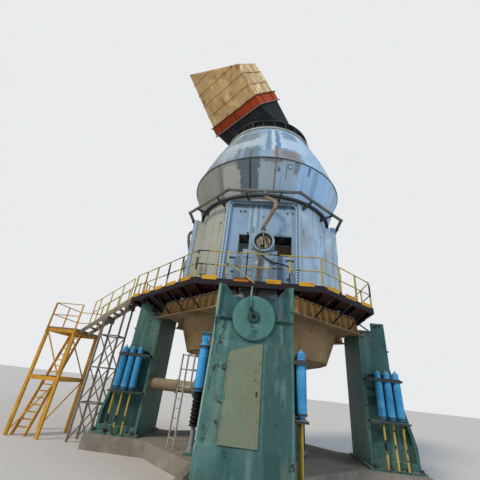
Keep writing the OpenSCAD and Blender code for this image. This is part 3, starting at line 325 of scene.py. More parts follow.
cover_paint = finish(
    "bearing_cover_paint", "#4b7b74",
    tones=(("#446d68", 0.9, 0.4, 0.6, 0.6), ("#5d8a80", 1.6, 0.52, 0.66, 0.5)),
    marks=spots((("#35595a", -0.2, 0.1, 3.88, 4.02, 0.5, 0.7),
        ("#2b4a4a", -0.04, 0.16, 4.02, 4.2, 0.45, 0.7),
                 ("#2b4a4a", -0.08, 0.03, 4.24, 4.34, 0.3, 0.7),
                 ("#3f6564", -0.3, -0.1, 4.8, 5.1, 0.2, 0.5),
                 ("#17201f", -0.15, -0.07, 4.74, 4.86, 0.1, 0.8),
                 ("#8fb0a6", -0.05, 0.16, 4.3, 4.37, 0.12, 0.5))) + [
                     ("#25403e", (0, COVER_FACE + 0.16, COVER_Z), (0.3, 0.148, 0.3), 0.01, 0.85),
                     # Painted shade: the inside of the boss's hole near-black
                     ("#090c0d", (0, COVER_FACE - 0.3, COVER_Z), (0.11, 0.28, 0.11), 0, 0.97)],
    streaks=(("#7c9c95", 2.6, 0.25, 0.57, 0.72, 0.3),),
    chips=(("#22302e", 3.0, 0.64, 0.655),),
    dust=(DUST, 0.8), rough=0.5)
panel_olive = finish(
    "olive_panel_paint", "#6d7a66",
    tones=(("#657059", 0.8, 0.4, 0.65, 0.6), ("#7d8570", 1.7, 0.5, 0.7, 0.4)),
    marks=spots((("#5f6b56", -0.72, -0.62, 1.3, 3.6, 0.05, 0.6),
        # Painted shade: the panel more olive right of the painted line, where it turns at a crease
        ("#747358", 0.03, 0.4, 1.3, 3.9, 0.1, 0.4),
                 ("#1f2720", 0.15, 0.22, 3.03, 3.06, 0.03, 0.9),
                 ("#1f2720", 0.13, 0.2, 2.8, 2.83, 0.03, 0.9),
                 ("#1f2720", 0.2, 0.27, 2.42, 2.55, 0.06, 0.9))),
    streaks=(("#57604b", 3.0, 0.15, 0.58, 0.75, 0.4),),
    chips=(("#2e352c", 4.5, 0.68, 0.695),), dust=(DUST, 0.7), rough=0.55)
hydraulic_blue = finish(
    "hydraulic_blue", "#4199cb",
    tones=(("#2f78a6", 1.6, 0.42, 0.62, 0.7), ("#6fb4dc", 2.6, 0.52, 0.7, 0.5)),
    streaks=(("#2a5f80", 6.0, 0.2, 0.6, 0.72, 0.6),),
    chips=(("#23333c", 9.0, 0.66, 0.675),), dust=(DUST, 0.6), rough=0.34)
cylinder_blue = finish(
    "pull_cylinder_blue", "#49adf0",
    tones=(("#3a97d6", 1.6, 0.42, 0.62, 0.6), ("#80caf4", 2.6, 0.54, 0.7, 0.5)),
    streaks=(("#2a5f80", 6.0, 0.2, 0.6, 0.72, 0.6),),
    chips=(("#23333c", 9.0, 0.66, 0.675),),
    layers=(("#141618", (0, 0, 2.39), (0, 0, -1), 0, 0.004), ("#8d9296", (0, 0, 1.51),
        (0, 0, -1), 0, 0.004)),
    rough=0.36)
dark_steel = finish(
    "dark_grey_paint", "#3b4448",
    tones=(("#2a3134", 0.6, 0.42, 0.62, 0.7), ("#59615f", 1.5, 0.52, 0.7, 0.5)),
    streaks=(("#6f6a5d", 2.0, 0.12, 0.56, 0.74, 0.45),),
    chips=((DARK_RUST, 4.0, 0.65, 0.67),), dust=(DUST, 0.85), rough=0.55)
hood_steel = finish(
    "hood_dark_paint", "#23292b",
    tones=(("#15191b", 0.35, 0.4, 0.6, 0.8), ("#3c4546", 0.9, 0.54, 0.7, 0.5)),
    streaks=(("#5a5c52", 1.2, 0.2, 0.6, 0.75, 0.4),),
    chips=((DARK_RUST, 3.0, 0.66, 0.69),), dust=(DUST, 0.9), rough=0.6)
yellow_paint = finish(
    "safety_yellow", "#bfab48",
    tones=(("#a08a38", 1.1, 0.42, 0.62, 0.7),),
    streaks=(("#8d6f31", 4.0, 0.3, 0.58, 0.74, 0.5),),
    chips=(("#232120", 0.75, 0.56, 0.57), (RUST, 5.5, 0.64, 0.67)), dust=(DUST, 0.4), rough=0.5)
tower_yellow = finish(
    "tower_yellow", "#d19a2c",
    tones=(("#ae7a26", 0.9, 0.42, 0.62, 0.7), ("#dfb85a", 2.0, 0.54, 0.7, 0.5)),
    streaks=(("#7c5a2c", 3.0, 0.2, 0.58, 0.74, 0.5),),
    chips=((RUST, 5.0, 0.62, 0.65), ("#33302b", 2.2, 0.66, 0.67)), dust=(DUST, 0.6), rough=0.5)
toe_yellow = finish(
    "toe_plate_paint", "#d29f24",
    tones=(("#b97f22", 1.4, 0.5, 0.6, 0.8),),
    marks=[("#6a3520", (-0.62, 4.94, 6.06), (0.5, 0.4, 0.055), 0.06, 0.95),
           ("#bf6b28", (-0.62, 4.94, 5.965), (0.5, 0.4, 0.035), 0.04, 0.9),
           ("#a26f24", (0.5, 4.94, 6.0), (0.2, 0.4, 0.045), 0.05, 0.7)],
    chips=(("#2c2724", 2.4, 0.64, 0.65), (RUST, 5.0, 0.65, 0.68)), dust=(DUST, 0.3), rough=0.52)
gear_paint = finish(
    "gear_unit_paint", "#55645f",
    tones=(("#404c49", 0.7, 0.42, 0.62, 0.7),),
    streaks=(("#7f7663", 1.8, 0.15, 0.55, 0.72, 0.5),),
    chips=((DARK_RUST, 4.0, 0.64, 0.67),), dust=(DUST, 0.9), rough=0.6)
tan_steel = finish(
    "dusty_tan_steel", "#8f7b5a",
    tones=(("#66543c", 0.6, 0.42, 0.62, 0.7), ("#b09a74", 1.4, 0.52, 0.7, 0.6)),
    # Painted light under the deck's shadow: a lighter hopper, and the gusset faces below the flange
    # lit bright
    marks=spots((("#a98a5c", -9, 9, 3.3, 4.9, 1.2, 0.35),
        ("#d4b075", -9, 9, 5.07, 5.67, 0.02, 0.85))),
    streaks=(("#4d3f31", 2.2, 0.12, 0.56, 0.72, 0.55), (RUST, 1.7, 0.1, 0.62, 0.78, 0.4)),
    chips=((DARK_RUST, 3.5, 0.64, 0.67),), dust=(DUST, 0.9), rough=0.65)
casing_paint = finish(
    "casing_paint", "#a9ada2", round_body=CASING_R,
    # Painted light: the sky-blue turn grows towards the right side, lit by the sky, over the sunlit
    # pale left
    painted_light_sides=(("#bddcf5", -0.2, 0.7, 0.95),),
    tones=(("#949a95", 0.55, 0.45, 0.65, 0.6), ("#b9bbb0", 1.1, 0.52, 0.7, 0.5)),
    # Painted light and shade in the two pockets beside the hub: a near-black painted shadow under
    # their tops, and lighter lower insides as painted light
    marks=[("#05090b", (0, 3.08, HUB_Z + 0.56), (1.5, 0.6, 0.07), 0.02, 0.97),
           ("#9db2b4", (-0.75, 3.0, HUB_Z - 0.15), (0.55, 0.6, 0.62), 0.06, 0.95),
           ("#7a6858", (1.0, 3.0, HUB_Z - 0.15), (0.65, 0.6, 0.62), 0.06, 0.95)] + spots((
               ("#4b3a30", -2.1, -2.0, 9.36, 9.5, 0.08, 0.85),
               ("#7d6247", -2.1, -2.03, 8.8, 9.4, 0.1, 0.5),
               ("#5b4a3c", 1.95, 2.0, 8.9, 9.3, 0.1, 0.6))),
    streaks=(("#858a85", 2.6, 0.08, 0.54, 0.7, 0.5), ("#c0bfb2", 3.6, 0.07, 0.56, 0.7, 0.5),
             (RUST, 2.0, 0.09, 0.655, 0.76, 0.55)),
    chips=((DARK_RUST, 2.6, 0.675, 0.69),), dust=(DUST, 0.8), rough=0.5)
door_paint = finish(
    "door_paint", "#8ba8c2",
    tones=(("#7892aa", 0.6, 0.42, 0.62, 0.6), ("#9fb9d0", 1.2, 0.52, 0.7, 0.5)),
    marks=spots((
        # Painted shadow: a dark band along the top of the door's recess
        ("#465a66", -1.6, 1.6, 9.95, 10.4, 0.08, 0.75),
        ("#a6bac8", -0.64, -0.56, 8.7, 10.1, 0.07, 0.75),
        ("#68808f", -0.52, -0.45, 8.6, 10.1, 0.06, 0.7),
        ("#adc0cd", -0.4, -0.27, 8.5, 10.1, 0.09, 0.75),
        ("#6c8494", -0.24, -0.16, 8.9, 10.1, 0.05, 0.6),
        ("#a2b6c4", -0.12, 0.0, 8.6, 10.1, 0.08, 0.65),
        ("#3f4d55", 0.0, 0.09, 9.46, 9.55, 0.04, 0.85),
        ("#5f7480", -0.45, -0.3, 8.62, 8.95, 0.12, 0.7),
        ("#6b7275", 0.6, 1.35, 8.55, 8.62, 0.12, 0.6), ("#45525a", 1.2, 1.26, 9.12, 9.2, 0.04, 0.7),
        ("#0b0f12", -1.34, -1.05, 7.34, 7.43, 0.02, 0.95),
        ("#0b0f12", 1.1, 1.48, 7.34, 7.43, 0.02, 0.95),
        ("#1a2226", -1.2, -1.05, 6.7, 6.8, 0.1, 0.85), ("#1a2226", 1.15, 1.3, 6.5, 6.62, 0.1, 0.85),
        # Painted shade: these two darken the door below the pockets beside the hub
        ("#566a76", -1.1, -0.75, 6.0, 7.5, 0.5, 0.6), ("#4c5d68", 0.78, 1.0, 6.0, 7.6, 0.45, 0.5),
        ("#abc6dc", -DOOR_HALF - 0.02, 0.17 - DOOR_HALF, 6.0, 10.1, 0.02, 0.65),
        ("#abc6dc", DOOR_HALF - 0.17, DOOR_HALF + 0.02, 6.0, 10.1, 0.02, 0.4))),
    streaks=(("#6b8292", 2.8, 0.08, 0.54, 0.7, 0.5), ("#abbfcd", 2.0, 0.06, 0.57, 0.7, 0.5),
             (RUST, 3.4, 0.12, 0.69, 0.78, 0.45)),
    chips=((DARK_RUST, 4.2, 0.69, 0.70),), dust=(DUST, 0.7), rough=0.46)
hub_paint = finish(
    "hub_and_lever_paint", "#809bab",
    tones=(("#72899a", 1.0, 0.42, 0.62, 0.7), ("#a3b7c4", 1.8, 0.54, 0.7, 0.5)),
    marks=spots((
        ("#5f554f", -0.1, 0.18, 6.0, 7.5, 0.35, 0.8), ("#4a3d37", -0.05, 0.1, 6.4, 7.2, 0.5, 0.6),
        ("#23303a", -0.67, -0.28, 7.22, 7.27, 0.02, 0.85),
        ("#23303a", -0.46, -0.28, 6.68, 6.73, 0.02, 0.85),
        ("#23303a", -0.44, -0.3, 6.44, 6.48, 0.02, 0.8),
        ("#b9cad3", -0.2, -0.06, 6.95, 7.16, 0.4, 0.7),
        ("#b0c4cf", 0.22, 0.42, 6.85, 7.1, 0.45, 0.65),
        ("#5b6870", 0.36, 0.66, 6.0, 7.3, 0.5, 0.6))),
    streaks=(("#6c5f55", 3.2, 0.12, 0.6, 0.74, 0.5), (RUST, 4.1, 0.14, 0.66, 0.78, 0.5),
             ("#b0c2cd", 3.0, 0.1, 0.57, 0.72, 0.45)),
    chips=(("#39332f", 5.0, 0.665, 0.68),), dust=(DUST, 0.8), rough=0.45)
cream_paint = finish(
    "cream_disc_paint", "#b9ad92",
    tones=(("#8a7c63", 2.2, 0.42, 0.62, 0.7),),
    marks=[(shade, (HUB_X + x, 4, HUB_Z + z), (w, 3, h), 0.1, 0.92) for shade, x, z, w, h in (
        ("#1a1714", 0.02, -0.05, 0.035, 0.3), ("#221d19", 0.12, 0.1, 0.03, 0.14),
        ("#2b2520", 0.2, -0.02, 0.025, 0.15), ("#3a2b20", -0.16, 0.02, 0.05, 0.07),
        ("#1f1a17", -0.05, -0.2, 0.12, 0.05), ("#d8ccb0", -0.1, 0.15, 0.09, 0.06))],
    chips=(("#3a332a", 6.0, 0.6, 0.62), (RUST, 8.0, 0.64, 0.66)), rough=0.55)
band_paint = finish(
    "separator_band_paint", "#90928a", round_body=GIRTH_R, fold=2,
    # Painted light: the two turns go grey-blue, then sky-blue, towards the right side, lit by the
    # sky
    painted_light_sides=(("#8fa3b1", -0.45, 0.0, 0.9), ("#b6d8f5", 0.1, 0.7, 0.95)),
    tones=(("#838b8c", 0.8, 0.5, 0.66, 0.5),),
    marks=patches(GIRTH_R, (
        ("#8a8c80", -62, -48, 10.6, 12.6, 0.25, 0.7), ("#6c7570", -38, -33.5, 10.6, 12.6, 0.3, 0.7),
        ("#a3a8a2", -33, -18.3, 10.2, 12.38, 0.3, 0.95),
        ("#53646a", -21, -3.5, 12.0, 12.7, 0.5, 0.9),
        ("#55666c", -18.3, -5, 10.2, 12.3, 0.6, 0.92),
        ("#99abb6", -4.6, 6.6, 10.2, 12.34, 0.7, 0.92),
        ("#99b2c8", 8.4, 20, 10.2, 12.42, 0.6, 0.85), ("#a6cdf4", 24, 52, 10.2, 12.7, 0.9, 0.8),
        ("#6a7075", 19.4, 24.0, 11.95, 12.7, 0.6, 0.7), ("#6f5f55", -2, 11, 12.38, 12.7, 0.35, 0.6),
        ("#52656f", 8.2, 10.4, 11.93, 12.15, 0.12, 0.85),
        ("#4a5961", 15.6, 18.8, 12.13, 12.4, 0.06, 0.8),
        ("#c3ced2", 16.3, 18.1, 12.2, 12.33, 0.04, 0.85),
        ("#33261f", -11.5, -10.0, 10.6, 12.6, 0.07, 0.85),
        ("#74583c", 6.4, 7.5, 10.6, 12.6, 0.3, 0.8), ("#74583c", 14.4, 15.4, 11.6, 12.4, 0.25, 0.7),
        ("#4a6c90", 31, 33, 12.05, 12.55, 0.15, 0.8), ("#7d97a8", 36, 41, 10.6, 12.6, 0.3, 0.5))),
    streaks=(("#7b878a", 2.4, 0.06, 0.56, 0.68, 0.4), ("#aab6bb", 1.8, 0.05, 0.58, 0.7, 0.4),
             (RUST, 2.8, 0.08, 0.675, 0.77, 0.45)),
    chips=((DARK_RUST, 3.0, 0.68, 0.70),), rough=0.5)
cone_paint = finish(
    "separator_cone_paint", "#869ba8", round_body=3.6, fold=2,
    # Painted light: the two turns go paler blue towards the right side, lit by the sky
    painted_light_sides=(("#9dbedb", -0.35, 0.2, 0.9), ("#b6d2ea", 0.2, 0.9, 0.9)),
    tones=(("#7f98aa", 0.8, 0.52, 0.64, 0.5),),
    marks=patches(3.6, (
        ("#a9b8bf", -52, -18, 13.1, 14.3, 2.0, 0.85), ("#b4c5ce", -40, 0, 13.8, 15.3, 2.0, 0.9),
        ("#637886", -36, -8, 14.5, 15.5, 2.2, 0.75), ("#b9c8ce", -60, -30, 15.2, 16.3, 0.5, 0.7),
        ("#647d8b", -23, -4, 12.5, 13.75, 1.5, 0.85), ("#c9d9e5", 3.0, 7.2, 13.3, 15.9, 0.3, 0.8),
        ("#bcd5ea", 10.5, 36, 13.5, 15.7, 1.2, 0.8), ("#6389a8", -0.8, 3.3, 13.3, 16.0, 0.35, 0.8),
        ("#5a81a2", 6.8, 11.0, 13.4, 16.0, 0.45, 0.85), ("#66859b", 14, 30, 14.9, 16.0, 1.6, 0.8),
        ("#84909a", 5, 27, 12.6, 13.7, 1.6, 0.8), ("#85665a", 12, 25, 12.7, 13.4, 1.8, 0.6),
        ("#86603f", 6.3, 8.5, 12.5, 13.7, 0.3, 0.75),
        ("#6a5a50", -12.2, -9.8, 12.4, 13.3, 0.15, 0.75),
        ("#88959a", -58, -40, 12.5, 13.4, 0.6, 0.7))),
    streaks=(("#7693aa", 1.7, 0.07, 0.57, 0.68, 0.5), ("#cadae5", 2.0, 0.06, 0.57, 0.67, 0.5),
             ("#8a6f60", 1.3, 0.09, 0.63, 0.75, 0.4)),
    chips=(("#4d5a62", 2.2, 0.67, 0.685),), dust=("#c9c7bd", 0.4), rough=0.42)
curb_paint = finish(
    "curb_pale_paint", "#b5b7ab", round_body=2.9,
    tones=(("#8d9189", 1.2, 0.42, 0.62, 0.7),), streaks=((RUST, 3.0, 0.2, 0.62, 0.74, 0.5),),
    dust=(DUST, 0.8), rough=0.55)
head_paint = finish(
    "outlet_head_paint", "#9db4c4", round_body=2.0,
    tones=(("#7d93a1", 0.7, 0.45, 0.6, 0.7), ("#c5d6e0", 1.0, 0.54, 0.66, 0.7)),
    streaks=(("#69767d", 2.0, 0.1, 0.56, 0.7, 0.5),), dust=(DUST, 0.7), rough=0.45)
# The outlet's own place and axes
OUTLET_AT = np.array([-1.77, -1.59, NECK_TOP + 1.76])
OUTLET_TURN, OUTLET_TILT = math.radians(-42), math.radians(51)


def from_outlet(points):
    """Points of the outlet's axes in the mill's: tilted about X, turned about Z, then moved."""
    ct, st, cz, sz = (f(a) for a in (OUTLET_TILT, OUTLET_TURN) for f in (math.cos, math.sin))
    tilt = np.array([[1, 0, 0], [0, ct, -st], [0, st, ct]])
    turn = np.array([[cz, -sz, 0], [sz, cz, 0], [0, 0, 1]])
    return np.asarray(points, float) @ (turn @ tilt).T + OUTLET_AT


outlet_up = tuple((from_outlet([[0, 0, 1]])[0] - OUTLET_AT).tolist())
outlet_along = tuple((from_outlet([[1, 0, 0]])[0] - OUTLET_AT).tolist())
outlet_at = tuple(OUTLET_AT.tolist())
red_oxide = finish(
    "red_expansion_paint", "#a8401f",
    tones=(("#74301c", 0.8, 0.46, 0.64, 0.6), ("#b4583f", 1.2, 0.55, 0.68, 0.5)),
    streaks=(("#54281c", 2.4, 0.3, 0.58, 0.72, 0.5),),
    # Painted light: the first layer brightens the frame towards its lit end along the outlet's x
    layers=(("#c04a20", outlet_at, outlet_along, 0.3, 1.5),
            ("#43190f", outlet_at, outlet_up, 0.27, 0.285),
            ("#a98f86", outlet_at, outlet_up, -0.27, -0.285)),
    chips=(("#3d2018", 4.5, 0.64, 0.66),), dust=(DUST, 0.4), rough=0.58)
cladding = finish(
    "aluminium_cladding", "#e2bc82",
    tones=(("#c49a62", 0.3, 0.46, 0.66, 0.7), ("#ecd3a6", 0.5, 0.54, 0.7, 0.6)),
    # Painted highlights and painted shade: pale gold runs and dark brown runs along the folds
    streaks=(("#ffdc98", 1.2, 0.05, 0.53, 0.63, 0.8), ("#94703f", 1.5, 0.05, 0.56, 0.66, 0.7)),
    rough=0.36, metal=0.35, grain=0.35, grain_scale=3.0,
    shine=0.5)
seam_brown = finish("seam_brown", "#4a3822", tones=(("#7a6038", 2.0, 0.46, 0.62, 0.7),), rough=0.6)
# Painted light and shade: the grey is darkened as painted shade, and the beige turn paints the
# sunlit left side
ring_paint = finish(
    "ring_pipe_paint", "#6a6f6d",
    tones=(("#565b59", 1.2, 0.42, 0.62, 0.7), ("#97a1a5", 2.0, 0.56, 0.72, 0.5)),
    streaks=(("#6f6558", 3.0, 1.0, 0.58, 0.7, 0.6),), chips=((RUST, 5.0, 0.66, 0.69),),
    painted_light_sides=(("#8d8a76", 0.0, -0.7, 0.7),), dust=(DUST, 0.7), rough=0.5)
hose_rubber = finish(
    "dusty_hose_rubber", "#95856d",
    tones=(("#6b5a45", 1.8, 0.44, 0.62, 0.7), ("#b09d80", 2.6, 0.54, 0.68, 0.6)),
    dust=(DUST, 0.6), rough=0.7, grain=0.5)
deck_primer = finish(
    # Painted shade: the near-black tone on what faces sideways
    "deck_oxide_primer", "#472722", upright=("#181a22", 0.92),
    tones=(("#381f22", 0.5, 0.42, 0.62, 0.7), ("#54424a", 2.2, 0.6, 0.68, 0.5)),
    streaks=(("#2b1c1b", 1.8, 1.0, 0.56, 0.7, 0.5),),
    chips=(("#7d5236", 3.5, 0.67, 0.70),), dust=("#8f7d64", 0.9), rough=0.62)
strut_steel = finish(
    "strut_dark_steel", "#33292a",
    tones=(("#211c1e", 1.0, 0.42, 0.62, 0.7),), chips=((RUST, 5.0, 0.62, 0.66),), rough=0.6)
stair_paint = finish(
    "stair_grey_brown", "#8a8171",
    tones=(("#6b6254", 0.8, 0.42, 0.62, 0.7), ("#a59c89", 1.5, 0.54, 0.7, 0.5)),
    streaks=(("#5c5347", 2.8, 0.4, 0.56, 0.7, 0.5),), chips=((RUST, 4.0, 0.64, 0.67),),
    dust=(DUST, 0.8), rough=0.6)
galvanised = finish(
    "trestle_grey_paint", "#7b7266",
    tones=(("#675e52", 1.4, 0.42, 0.62, 0.6), ("#9b9488", 2.4, 0.54, 0.7, 0.6)),
    chips=((RUST, 5.0, 0.67, 0.70),), rough=0.55)
lube_tan = finish(
    "lube_pipe_tan", "#92866c",
    tones=(("#786a53", 1.0, 0.42, 0.62, 0.6), ("#aa9f87", 1.6, 0.54, 0.7, 0.5)),
    streaks=((RUST, 2.4, 0.3, 0.62, 0.74, 0.4),), dust=(DUST, 0.8), rough=0.6)
offwhite_paint = finish(
    "offwhite_paint", "#b3afa3",
    tones=(("#8d877a", 1.5, 0.44, 0.62, 0.7),), chips=((RUST, 6.0, 0.63, 0.66),), rough=0.55)
concrete = finish(
    "foundation_concrete", "#8d887e",
    tones=(("#736e65", 0.4, 0.42, 0.62, 0.8), ("#a39e92", 0.9, 0.52, 0.68, 0.6)),
    streaks=(("#5f5a51", 1.4, 0.3, 0.58, 0.72, 0.5),),
    chips=(("#5b564e", 6.0, 0.66, 0.69),), dust=("#9c9282", 0.7), rough=0.85, grain=0.6)
bolt_steel = finish(
    "bolt_dark_zinc", "#4d5255",
    tones=(("#34383a", 2.0, 0.42, 0.6, 0.7),), chips=((RUST, 7.0, 0.6, 0.64),),
    rough=0.5, metal=0.3)
black_rubber = finish(
    "black_hose", "#1d1f21", tones=(("#37322c", 2.0, 0.5, 0.66, 0.6),), rough=0.6)
dark_green = finish(
    "dark_green_fitting", "#2d4442", tones=(("#1b2b2a", 3.0, 0.44, 0.62, 0.7),), rough=0.5)
grease_hose = finish(
    "grease_hose_tan_to_black", "#8c7f68", tones=(("#5f5443", 3.0, 0.42, 0.6, 0.7),),
    layers=(("#17191a", (0, 0, 7.5), (0, 0, -1), 0, 0.2),), rough=0.6)
stripe_yellow = finish(
    "painted_line", "#7d7957", tones=(("#6c7060", 1.8, 0.4, 0.58, 0.9),), rough=0.55)

NODE_FINISH = {
    concrete: ["foundation_block"],
    stand_paint: ["stand_front", "stand_left", "stand_right", "stand_back"],
    cover_paint: ["bearing_covers"],
    panel_olive: ["inspection_panels"],
    hydraulic_blue: ["accumulator_bottles"],
    cylinder_blue: ["pull_cylinders"],
    # The casing flange takes the dark grey as painted shade, for the shadow line under the
    # separator band; its paint is the casing's
    dark_steel: ["accumulator_brackets", "casing_flange", "girth_flange", "neck_drum",
                 "ring_brackets"],
    hood_steel: ["outlet_hood"],
    strut_steel: ["platform_struts"],
    yellow_paint: ["platform_rails", "stair_rails", "hydraulic_pipes"],
    toe_yellow: ["toe_plates"],
    tower_yellow: ["stair_tower", "steep_flight"],
    gear_paint: ["gear_unit"],
    tan_steel: ["lower_housing", "base_ring"],
    lube_tan: ["lube_pipe"],
    casing_paint: ["casing_shell"],
    door_paint: ["door_front", "door_left", "door_right", "door_back"],
    hub_paint: ["hub_tubes"],
    cream_paint: ["hub_caps"],
    band_paint: ["separator_band"],
    cone_paint: ["separator_cone"],
    curb_paint: ["curb_ring"],
    head_paint: ["outlet_head"],
    red_oxide: ["expansion_frame"],
    cladding: ["clad_duct"],
    ring_paint: ["seal_air_ring"],
    hose_rubber: ["seal_air_hoses"],
    deck_primer: ["platform_deck"],
    stair_paint: ["stair_flight", "stair_landing"],
    galvanised: ["stair_trestle"],
    offwhite_paint: ["access_ladder"],
}
for material, names in NODE_FINISH.items():
    for name in names:
        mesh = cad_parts[name].data
        mesh.materials.clear()
        mesh.materials.append(material)


# Mesh helpers

def piece(name, points, faces, material, slot, smooth=False):
    """A mesh of given points and faces that rides on the mill."""
    mesh = bpy.data.meshes.new(name)
    mesh.from_pydata(np.asarray(points, float).tolist(), [], faces)
    mesh.materials.append(material)
    if smooth:
        mesh.polygons.foreach_set("use_smooth", np.ones(len(mesh.polygons), bool))
    mesh.update()
    made = bpy.data.objects.new(name, mesh)
    bpy.context.scene.collection.objects.link(made)
    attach(made, "root")
    return made


def turned(points, degrees):
    """Points turned about the mill axis."""
    a = math.radians(degrees)
    spin = np.array([[math.cos(a), -math.sin(a), 0], [math.sin(a), math.cos(a), 0], [0, 0, 1]])
    return np.asarray(points, float) @ spin.T


def all_sides(points):
    """Points drawn for the front, repeated on the mill's four sides."""
    return np.concatenate([turned(points, side) for side in SIDES])


def grid_faces(rows, cols, close_rows=False, close_cols=True):
    """Quads of a grid of points, row after row, closed round its columns or rows if asked."""
    i = np.arange(rows if close_rows else rows - 1)[:, None]
    j = np.arange(cols if close_cols else cols - 1)[None, :]
    i2, j2 = (i + 1) % rows, (j + 1) % cols
    corners = [i * cols + j, i * cols + j2, i2 * cols + j2, i2 * cols + j]
    return np.stack([c.ravel() for c in corners], 1).tolist()


def across(direction):
    """Two unit vectors square to each direction of an (n, 3) array, right-handed with it."""
    direction = direction / np.linalg.norm(direction, axis=1, keepdims=True)
    flat = np.abs(direction[:, 2:3]) > 0.9
    helper = np.where(flat, [[0.0, 1.0, 0.0]], [[0.0, 0.0, 1.0]])
    side = np.cross(helper, direction)
    side /= np.linalg.norm(side, axis=1, keepdims=True)
    return side, np.cross(direction, side), direction


def many(points, faces, count, size):
    """The faces of one shape of size points, repeated for count copies."""
    shift = np.arange(count) * size
    out = []
    for group in faces:
        group = np.asarray(group)
        out += (group[None] + shift[:, None, None]).reshape(-1, group.shape[1]).tolist()
    return out


def hex_heads(name, at, outward, across_flats, height, material=None, slot="dark_steel"):
    """Hexagon heads on round washers. Each point is the place, plus the washer's or head's radius
    times cosine and sine of its angle on the two cross directions, plus its height outward."""
    at = np.asarray(at, float)
    outward = np.broadcast_to(np.asarray(outward, float), at.shape)
    side, up, out = across(outward)
    washer, head = across_flats * 0.85, across_flats / math.sqrt(3)
    a12, a6 = np.arange(12) * math.pi / 6, np.arange(6) * math.pi / 3
    rings = [(a12, washer, 0.0), (a12, washer, height * 0.2), (a6, head, height * 0.2),
             (a6, head, height * 0.9), (a6, head * 0.8, height)]
    cosine = np.concatenate([np.cos(a) * r for a, r, _ in rings])
    sine = np.concatenate([np.sin(a) * r for a, r, _ in rings])
    lift = np.concatenate([np.full(len(a), h) for a, _, h in rings])
    cosine, sine, lift = (shares[None, :, None] for shares in (cosine, sine, lift))
    points = at[:, None] + cosine * side[:, None] + sine * up[:, None] + lift * out[:, None]
    points = points.reshape(-1, 3)
    ring12, ring6 = np.arange(12), np.arange(6)
    walls = [np.stack([ring12, (ring12 + 1) % 12, (ring12 + 1) % 12 + 12, ring12 + 12], 1)]
    walls += [np.stack([s + ring6, s + (ring6 + 1) % 6, s + (ring6 + 1) % 6 + 6, s + ring6 + 6], 1)
              for s in (24, 30)]
    caps = [ring12[::-1][None], (ring12 + 12)[None], (ring6 + 36)[None], (ring6[::-1] + 24)[None]]
    faces = many(points, walls + caps, len(at), 42)
    return piece(name, points, faces, material or bolt_steel, slot)


def tube(path, radius, sides=12):
    """Points and faces of a closed round tube: at each point of the path, a circle of the radius
    there, square to the path's direction."""
    path = np.asarray(path, float)
    radius = np.broadcast_to(np.asarray(radius, float), len(path))
    side, up, _ = across(np.gradient(path, axis=0))
    angle = np.arange(sides) * 2 * math.pi / sides
    rim = np.cos(angle)[None, :, None] * side[:, None] + np.sin(angle)[None, :, None] * up[:, None]
    points = (path[:, None] + radius[:, None, None] * rim).reshape(-1, 3)
    faces = grid_faces(len(path), sides)
    last = (len(path) - 1) * sides
    faces += [list(range(sides))[::-1], list(range(last, last + sides))]
    return points, faces


def join(parts):
    """Several (points, faces) as one."""
    points, faces, start = [], [], 0
    for some_points, some_faces in parts:
        points.append(some_points)
        faces += [[i + start for i in face] for face in some_faces]
        start += len(some_points)
    return np.concatenate(points), faces


def smooth_path(points, steps):
    """A curve through the points, as Catmull-Rom cubics with the given steps a span."""
    p = np.asarray(points, float)
    p = np.vstack([2 * p[0] - p[1], p, 2 * p[-1] - p[-2]])
    t = np.linspace(0, 1, steps, endpoint=False)[None, :, None]
    a, b, c, d = (p[k:len(p) - 3 + k, None] for k in range(4))
    curve = 0.5 * (2 * b + (c - a) * t + (2 * a - 5 * b + 4 * c - d) * t ** 2
                   + (3 * b - a - 3 * c + d) * t ** 3)
    return np.vstack([curve.reshape(-1, 3), p[-2]])


def revolve(profile, centre, outward=(0, 0, 1), sides=32):
    """A closed profile of (radius, height) pairs turned about an axis through centre."""
    profile = np.asarray(profile, float)
    side, up, out = across(np.asarray([outward], float))
    angle = np.arange(sides) * 2 * math.pi / sides
    rim = np.cos(angle)[:, None] * side + np.sin(angle)[:, None] * up
    points = (np.asarray(centre, float) + profile[None, :, 0:1] * rim[:, None]
              + profile[None, :, 1:2] * out).reshape(-1, 3)
    return points, grid_faces(sides, len(profile), close_rows=True)


def circle_places(radius, count, z, start=0.0):
    """Points spaced evenly round the mill axis."""
    angle = (np.arange(count) + start) * 2 * math.pi / count
    return np.stack([radius * np.cos(angle), radius * np.sin(angle), np.full(count, z)], 1)


# Camera, from a fit of the photograph in a 480 by 480 frame
FOCAL_PX, CENTRE_PX, FRAME_PX = 289.12, (241.64, 213.46), 480
CAMERA_AT = (0.361, -15.330, 2.650)
PITCH, YAW, ROLL = math.radians(30.647), math.radians(-6.616), math.radians(6.314)


def make_camera():
    level_share = math.cos(PITCH)
    forward = Vector((math.sin(YAW) * level_share, math.cos(YAW) * level_share, math.sin(PITCH)))
    level = Vector((math.cos(YAW), -math.sin(YAW), 0))
    upright = level.cross(forward)
    right = level * math.cos(ROLL) + upright * math.sin(ROLL)
    up = -level * math.sin(ROLL) + upright * math.cos(ROLL)
    lens = bpy.data.cameras.new("photo_camera")
    lens.sensor_width = 36.0
    lens.lens = 36.0 * FOCAL_PX / FRAME_PX
    lens.shift_x = (FRAME_PX / 2 - CENTRE_PX[0]) / FRAME_PX
    lens.shift_y = (CENTRE_PX[1] - FRAME_PX / 2) / FRAME_PX
    lens.clip_end = 300
    camera = bpy.data.objects.new("photo_camera", lens)
    camera.matrix_world = Matrix.Translation(CAMERA_AT) @ Matrix(
        (right, up, -forward)).transposed().to_4x4()
    bpy.context.scene.collection.objects.link(camera)
    bpy.context.scene.camera = camera


